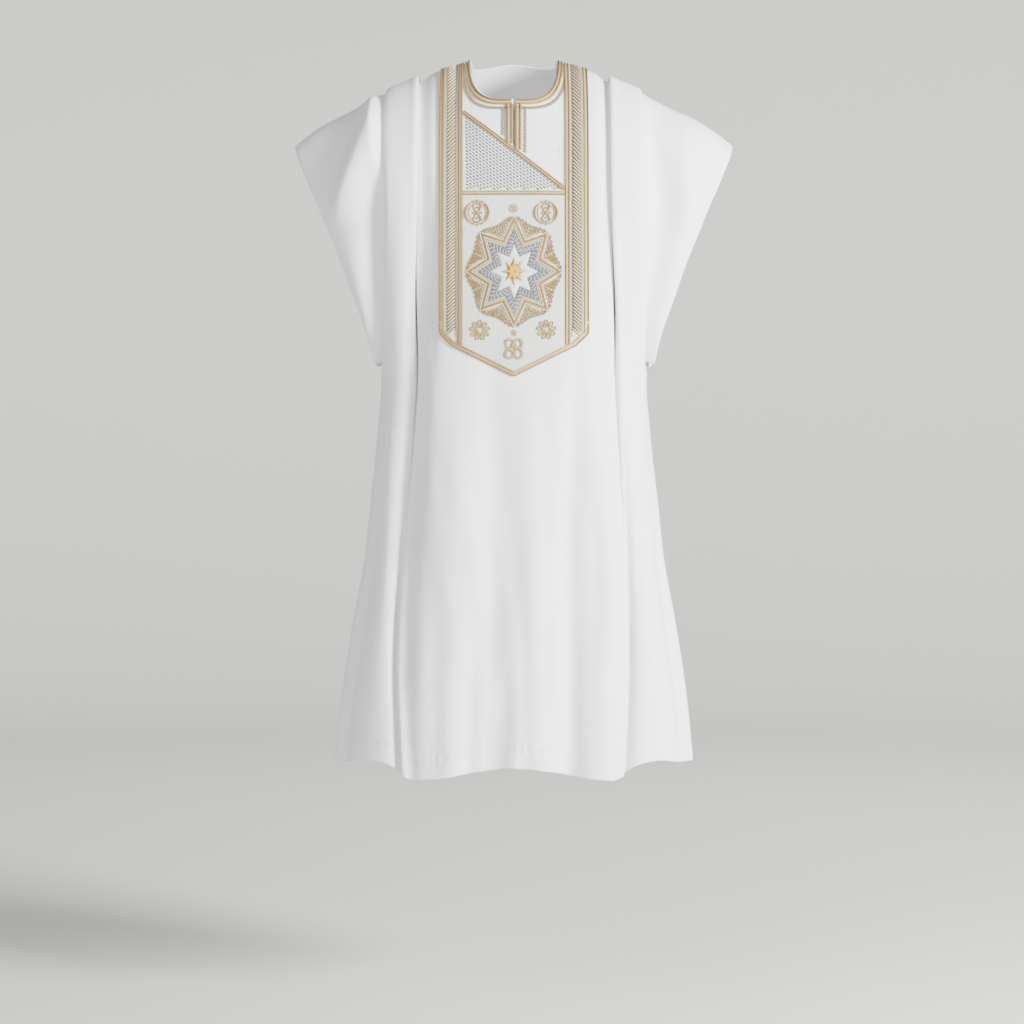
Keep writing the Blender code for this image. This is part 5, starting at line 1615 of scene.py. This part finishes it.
class BOUBOU_OT_star(bpy.types.Operator):
    """Make the eight-pointed star in layers of satin stitch, with looped threads between its tips"""
    bl_idname = "boubou.star"
    bl_label = "Star"

    def execute(self, context):
        rim = star_line(1.0, 1.0, RING_STEPS)
        turn = np.linspace(0.0, 2.0 * math.pi, len(rim), endpoint=False)
        scallop = SCALLOP_REACH + SCALLOP_WAVE * np.cos(STAR_POINTS * turn) + 0.010 * np.cos(40.0 * turn)
        rim = np.array(STAR_MIDDLE) + (rim - np.array(STAR_MIDDLE)) * scallop[:, None]
        ground = satin_band(rim, star_line(0.52, 0.40, RING_STEPS), STAR_BASE, 0.0005)
        embroidered("star_lace_ground", [ground], "cream_satin", "gold_braid", "star_ground")
        cords = []
        for line in STAR_CORDS:
            edge = star_line(line.tip, line.notch, STAR_CORD_STEPS)[None]
            points, normals = on_chest(edge[..., 0], edge[..., 1], STAR_BASE + line.lift)
            cords += wound(points, normals, line.cord, line.twist, closed=True)
        embroidered("star_edge_cords", cords, "cream_thread", "cream_ground")
        for ring in STAR_RINGS:
            band = satin_band(star_line(*ring.outer, RING_STEPS), star_line(*ring.inner, RING_STEPS),
                              STAR_BASE, ring.rise)
            embroidered(ring.name, [band], ring.finish, ring.slot, *ring.nodes)
        self.core()
        self.stipple()
        self.lace(context.scene.boubou_thread.stitch * LACE_THREAD)
        return {"FINISHED"}

    def core(self):
        """Sixteen raised rays from the middle, long and short by turns, thick at mid length."""
        ray = np.arange(2 * STAR_POINTS)[:, None]
        t = np.linspace(0.0, 1.0, RAY_STEPS)[None, :]
        place = on_star(ray * math.pi / STAR_POINTS, np.where(ray % 2 == 0, *CORE_REACH) * t)
        swell = CORE_SWELL * np.clip(np.sin(math.pi * np.clip(t, 0.03, 0.985) ** 0.75), 0.05, 1.0)
        rays = curve_on_chest(STAR_MIDDLE, place[..., 0], place[..., 1], swell, STAR_BASE + CORE_LIFT)
        embroidered("star_core", [rays], "core_satin", "gold_braid")

    def stipple(self):
        """Small grey and pale stitches scattered evenly over the grey ring."""
        rng = np.random.default_rng(STIPPLE_SEED)
        q = np.tile(np.linspace(0.16, 0.84, STIPPLE_ROWS), STIPPLE_COUNT // STIPPLE_ROWS)
        outer = star_line(*GREY_RING.outer, 50)
        inner = star_line(*GREY_RING.inner, 50)
        along = np.arange(STIPPLE_COUNT) * 16 // 15 + rng.integers(0, 3, STIPPLE_COUNT)
        pick = along % len(outer)
        middle = outer[pick] * (1.0 - q[:, None]) + inner[pick] * q[:, None]
        lean = rng.uniform(0.0, math.pi, len(middle))
        t = np.array([-1.0, 0.0, 1.0])[None, :]
        x = middle[:, :1] + STIPPLE_HALF * t * np.cos(lean)[:, None]
        z = middle[:, 1:] + STIPPLE_HALF * t * np.sin(lean)[:, None]
        rise = STAR_BASE + GREY_RING.rise + 0.0002 * (1.0 - t * t)
        points, normals = on_chest(x, z, np.broadcast_to(rise, x.shape))
        for first, finish, radius in STIPPLE_FINISHES:
            stitches = [strands(points[first::2], normals[first::2], radius, 4)]
            embroidered(f"star_stipple_{finish}", stitches, f"{finish}_thread", "silver_stitch")

    def lace(self, thread_radius):
        """Rows of thread loops that fill each gap between two tips, out to the scalloped rim."""
        rows = [(place, level, count) for place, count in LACE_ROWS for level in range(count)]
        fraction, level, total = np.array(rows).T
        folded = 1.0 - np.abs(2.0 * fraction - 1.0)
        depth = (1.0 - NOTCH) * folded
        near = 1.0 - depth / (NOTCH + depth) ** 0.25
        far = SCALLOP_REACH + SCALLOP_WAVE * np.cos(2.0 * math.pi * fraction)
        share = near + 0.035 + (far - near - 0.050) * (level + 0.5) / total
        gap = np.arange(STAR_POINTS)[:, None]
        centres = on_star((gap + fraction) * 2.0 * math.pi / STAR_POINTS, share).reshape(-1, 2)
        lean = np.tile(np.arange(len(fraction)) * 1.1, STAR_POINTS)
        turn = np.arange(RIM_LOOPS) * 2.0 * math.pi / RIM_LOOPS
        rim = on_star(turn, SCALLOP_REACH + SCALLOP_WAVE * np.cos(STAR_POINTS * turn))
        made = [loops(centres + np.array(STAR_MIDDLE), LACE_LOOP, thread_radius, STAR_BASE + 0.0005,
                      LACE_TURNS, lean),
                loops(rim + np.array(STAR_MIDDLE), RIM_LOOP, thread_radius, STAR_BASE + 0.0004,
                      LACE_TURNS, -turn)]
        embroidered("star_lace", made, "ochre_thread", "gold_braid")


Motif = namedtuple("Motif", "name x z reach")
SCROLLS = (Motif("scroll_left", -0.0560, -0.253, 0.0180), Motif("scroll_right", 0.0495, -0.253, 0.0172))
FLOWERS = (Motif("flower_left", -0.0520, -0.434, 0.0156), Motif("flower_right", 0.0500, -0.433, 0.0150))
ROSETTES = (Motif("rosette_top", -0.0010, -0.2465, 0.0074), Motif("rosette_low", 0.0000, -0.4385, 0.0052))
# A scroll's small rings: place across and up, and size, as shares of its reach
SCROLL_RINGS = ((0.0, 1.02, 0.10), (0.0, -1.02, 0.10), (0.0, 0.0, 0.13), (0.30, 0.0, 0.08),
                (-0.30, 0.0, 0.08), (0.36, 0.94, 0.08), (-0.36, 0.94, 0.08), (0.36, -0.94, 0.08),
                (-0.36, -0.94, 0.08), (0.0, 0.45, 0.09), (0.0, -0.45, 0.09))
PETALS = 9
ROSETTE_PETALS = (8, 5)
KNOT = Motif("knot_motif", 0.0000, -0.4625, 0.0150)
KNOT_APART = 0.00120


def round_motif(motif, share, angle):
    """Places round a motif's middle, clockwise from the top, at a share of its reach."""
    return np.stack([motif.x + motif.reach * share * np.sin(angle),
                     motif.z + motif.reach * share * np.cos(angle)], axis=-1)


class BOUBOU_OT_motifs(bpy.types.Operator):
    """Make the small motifs: two scrolls, two looped flowers, two rosettes and a knot"""
    bl_idname = "boubou.motifs"
    bl_label = "Small motifs"

    def execute(self, context):
        for motif in SCROLLS:
            self.scroll(motif)
        for motif in FLOWERS:
            self.flower(motif)
        for motif, petals in zip(ROSETTES, ROSETTE_PETALS):
            self.rosette(motif, petals)
        self.knot()
        return {"FINISHED"}

    def scroll(self, motif):
        """Two crescents that face each other round an upright chain of curls and small rings."""
        middle, reach = (motif.x, motif.z), motif.reach
        t = np.linspace(-1.0, 1.0, 30)[None, :]
        hand = np.array([-1.0, 1.0])[:, None]
        angle = t * 1.18
        taper = 0.00180 * (1.0 - 0.72 * t ** 2)
        made = [curve_on_chest(middle, hand * reach * np.cos(angle), reach * np.sin(angle), taper,
                               PANEL_TOP)]
        thin = 0.00085 * (1.0 - 0.5 * t ** 2)
        made.append(curve_on_chest(middle, hand * reach * 0.76 * np.cos(angle * 0.94),
                                   reach * 0.80 * np.sin(angle * 0.94), thin, PANEL_TOP))
        turn = np.linspace(0.0, 2.0 * math.pi, 60, endpoint=False)[None, :]
        made.append(curve_on_chest(middle, reach * 0.34 * np.sin(2.0 * turn), reach * 0.80 * np.cos(turn),
                                   0.00120, PANEL_TOP, True, 0.0004 * np.sin(2.0 * turn + 0.5)))
        rings = np.array(SCROLL_RINGS) * reach
        made.append(loops(rings[:, :2] + np.array(middle), rings[:, 2], 0.00085, PANEL_TOP))
        embroidered(f"{motif.name}_thread", made, "gold_thread", "gold_braid", motif.name)
        glow = [curve_on_chest(middle, hand * reach * 0.89 * np.cos(angle), reach * 0.90 * np.sin(angle),
                               0.00080 * (1.0 - 0.6 * t ** 2), PANEL_TOP - 0.0003)]
        embroidered(f"{motif.name}_filling", glow, "cream_thread", "cream_ground")

    def flower(self, motif):
        """Nine looped petals round a ring and a raised middle."""
        turn = np.linspace(0.0, 2.0 * math.pi, 22, endpoint=False)[None, :]
        angle = (np.arange(PETALS) * 2.0 * math.pi / PETALS)[:, None]
        out = motif.reach * (0.34 + 0.64 * (1.0 - np.cos(turn)) / 2.0)
        wide = motif.reach * 0.205 * np.sin(turn) * ((1.0 - np.cos(turn)) / 2.0) ** 0.5
        x = out * np.sin(angle) + wide * np.cos(angle)
        z = out * np.cos(angle) - wide * np.sin(angle)
        made = [curve_on_chest((motif.x, motif.z), x, z, 0.00100, PANEL_TOP, True)]
        ring = np.array([[motif.x, motif.z]])
        made.append(loops(ring, motif.reach * 0.30, 0.00080, PANEL_TOP, 18))
        embroidered(f"{motif.name}_thread", made, "gold_thread", "gold_braid", motif.name)
        tips = round_motif(motif, 0.74, angle[:, 0])
        seeds = [loops(tips, 0.00075, 0.00050, PANEL_TOP, 8), loops(ring, 0.0014, 0.0010, PANEL_TOP, 10)]
        embroidered(f"{motif.name}_seeds", seeds, "cream_thread", "cream_ground")

    def rosette(self, motif, petals):
        """A ring of small thread loops round one more."""
        angle = np.arange(petals) * 2.0 * math.pi / petals
        centres = round_motif(motif, 0.66, angle)
        middle = np.array([[motif.x, motif.z]])
        made = [loops(centres, motif.reach * 0.25, 0.00058, PANEL_TOP, 10, math.pi / 2.0 - angle),
                loops(middle, motif.reach * 0.20, 0.00070, PANEL_TOP, 10)]
        embroidered(f"{motif.name}_thread", made, "gold_thread", "gold_braid", motif.name)

    def knot(self):
        """One closed double line with four corner loops: a circle's turn plus three turns back."""
        turn = np.linspace(0.0, 2.0 * math.pi, 220, endpoint=False)
        lobed = (0.42 * np.exp(1j * turn) + 0.58 * np.exp(-3j * turn)) * np.exp(0.25j * math.pi)
        x = KNOT.reach * 1.05 * lobed.real
        z = KNOT.reach * 1.20 * lobed.imag
        line = np.stack([x, z], axis=-1)
        run = unit(np.roll(line, -1, axis=0) - np.roll(line, 1, axis=0))
        hump = 0.0005 * np.sin(8.0 * turn + 0.4)[None, :]
        made = []
        for offset in (-KNOT_APART, KNOT_APART):
            side = line + np.stack([-run[:, 1], run[:, 0]], axis=-1) * offset
            made.append(curve_on_chest((KNOT.x, KNOT.z), side[None, :, 0], side[None, :, 1], 0.00082,
                                       PANEL_TOP + 0.0004, True, hump))
        embroidered("knot_thread", made, "gold_thread", "gold_braid", KNOT.name)
        filling = curve_on_chest((KNOT.x, KNOT.z), x[None], z[None], 0.00070, PANEL_TOP + 0.0001, True, hump)
        embroidered("knot_filling", [filling], "cream_thread", "cream_ground")


# ---------------------------------------------------------------- stage

FLOOR_Z = -1.51
FLOOR_REACH = 4.6
SWEEP = 1.6
WALL_TOP = 3.4
GROUND_RINGS = 12
GROUND_SIDES = 96
LIGHT_AIM = (0.0, 0.0, -0.55)
KEY_COLOUR = (1.0, 0.99, 0.975)
SKY_COLOUR = (0.97, 0.955, 1.0)
WALL_COLOUR = (1.0, 1.0, 0.97)
# The two wall lights: place across and share of the wall light's power
WALL_LIGHTS = (("wall_light_left", -2.0, 0.45), ("wall_light_right", 1.6, 1.0))


def area_light(name, place, aim, size, power, colour):
    """A soft square light that looks at a point."""
    data = bpy.data.lights.new(name, "AREA")
    data.size = size
    data.energy = power
    data.color = colour
    light = bpy.data.objects.new(name, data)
    light.location = place
    light.rotation_euler = (Vector(aim) - Vector(place)).to_track_quat("-Z", "Y").to_euler()
    bpy.context.collection.objects.link(light)


def swept_ground(colour):
    """A round floor that turns up into a wall: a profile of floor, quarter round and wall, spun."""
    turn = np.linspace(0.0, math.pi / 2.0, GROUND_RINGS + 1)
    radius = np.concatenate([np.linspace(0.02, FLOOR_REACH, GROUND_RINGS, endpoint=False),
                             FLOOR_REACH + SWEEP * np.sin(turn), [FLOOR_REACH + SWEEP]])
    rise = np.concatenate([np.zeros(GROUND_RINGS), SWEEP * (1.0 - np.cos(turn)), [WALL_TOP]])
    angle = np.linspace(0.0, 2.0 * math.pi, GROUND_SIDES, endpoint=False)[None, :]
    points = np.stack([radius[:, None] * np.cos(angle), radius[:, None] * np.sin(angle),
                       np.broadcast_to(FLOOR_Z + rise[:, None], (len(radius), GROUND_SIDES))], axis=-1)
    cells = grid_cells(len(radius), GROUND_SIDES, wrap=True).tolist()
    cells.append(list(range(GROUND_SIDES)))
    made, nodes, links, shader = new_finish("studio_ground", colour, 0.9)
    shader.inputs["Specular IOR Level"].default_value = 0.1
    mesh = bpy.data.meshes.new("studio_ground")
    mesh.from_pydata(points.reshape(-1, 3).tolist(), [], cells)
    mesh.materials.append(made)
    mesh.shade_smooth()
    ground = bpy.data.objects.new("studio_ground", mesh)
    bpy.context.collection.objects.link(ground)
    return ground


class BOUBOU_OT_stage(bpy.types.Operator):
    """Set the camera, the pale swept ground and the soft studio light"""
    bl_idname = "boubou.stage"
    bl_label = "Stage"

    def execute(self, context):
        sizes = context.scene.boubou_stage
        camera = bpy.data.objects.new("camera", bpy.data.cameras.new("camera"))
        camera.data.lens = sizes.lens
        camera.location = (CAMERA_X, -sizes.distance, sizes.eye_height)
        camera.rotation_euler = (math.pi / 2.0, 0.0, 0.0)
        context.collection.objects.link(camera)
        context.scene.camera = camera
        swept_ground(sizes.ground)
        area_light("key_light", (3.0, -2.3, 0.5), LIGHT_AIM, 1.1, sizes.key, KEY_COLOUR)
        area_light("fill_light", (-1.7, -2.9, 1.5), LIGHT_AIM, 2.0, sizes.fill, SKY_COLOUR)
        for name, across, share in WALL_LIGHTS:
            area_light(name, (across, 1.8, 1.6), (across * 0.5, 6.0, -0.7), 1.5, sizes.wall * share,
                       WALL_COLOUR)
        world = context.scene.world or bpy.data.worlds.new("studio")
        context.scene.world = world
        world.use_nodes = True
        sky = world.node_tree.nodes["Background"]
        sky.inputs["Color"].default_value = (*SKY_COLOUR, 1.0)
        sky.inputs["Strength"].default_value = sizes.room
        return {"FINISHED"}


# ---------------------------------------------------------------- panel and start

class BOUBOU_PT_panel(bpy.types.Panel):
    """The robe's sizes, colours and pieces"""
    bl_idname = "BOUBOU_PT_panel"
    bl_label = "Grand Boubou"
    bl_space_type = "VIEW_3D"
    bl_region_type = "UI"
    bl_category = "Boubou"

    def draw(self, context):
        for group in (context.scene.boubou_cloth, context.scene.boubou_thread,
                      context.scene.boubou_stage):
            box = self.layout.box()
            for name in group.bl_rna.properties.keys():
                if name not in {"rna_type", "name"}:
                    box.prop(group, name)
        for operator in OPERATORS:
            self.layout.operator(operator.bl_idname)


OPERATORS = (BOUBOU_OT_stage, BOUBOU_OT_front, BOUBOU_OT_back, BOUBOU_OT_wings, BOUBOU_OT_bands,
             BOUBOU_OT_neck_braid, BOUBOU_OT_chest_braids, BOUBOU_OT_stitched_field,
             BOUBOU_OT_chest_panel, BOUBOU_OT_star, BOUBOU_OT_motifs)
GROUPS = (BoubouClothSizes, BoubouThreadSizes, BoubouStageSizes)


def register():
    """Adds the robe's classes and its three groups of sizes."""
    for kind in GROUPS + OPERATORS + (BOUBOU_PT_panel,):
        bpy.utils.register_class(kind)
    bpy.types.Scene.boubou_cloth = PointerProperty(type=BoubouClothSizes)
    bpy.types.Scene.boubou_thread = PointerProperty(type=BoubouThreadSizes)
    bpy.types.Scene.boubou_stage = PointerProperty(type=BoubouStageSizes)


def unregister():
    """Removes what register() added."""
    del bpy.types.Scene.boubou_stage
    del bpy.types.Scene.boubou_thread
    del bpy.types.Scene.boubou_cloth
    for kind in reversed(GROUPS + OPERATORS + (BOUBOU_PT_panel,)):
        bpy.utils.unregister_class(kind)


def main():
    register()
    for operator in OPERATORS:
        group, action = operator.bl_idname.split(".")
        getattr(getattr(bpy.ops, group), action)()


if __name__ == "__main__":
    main()
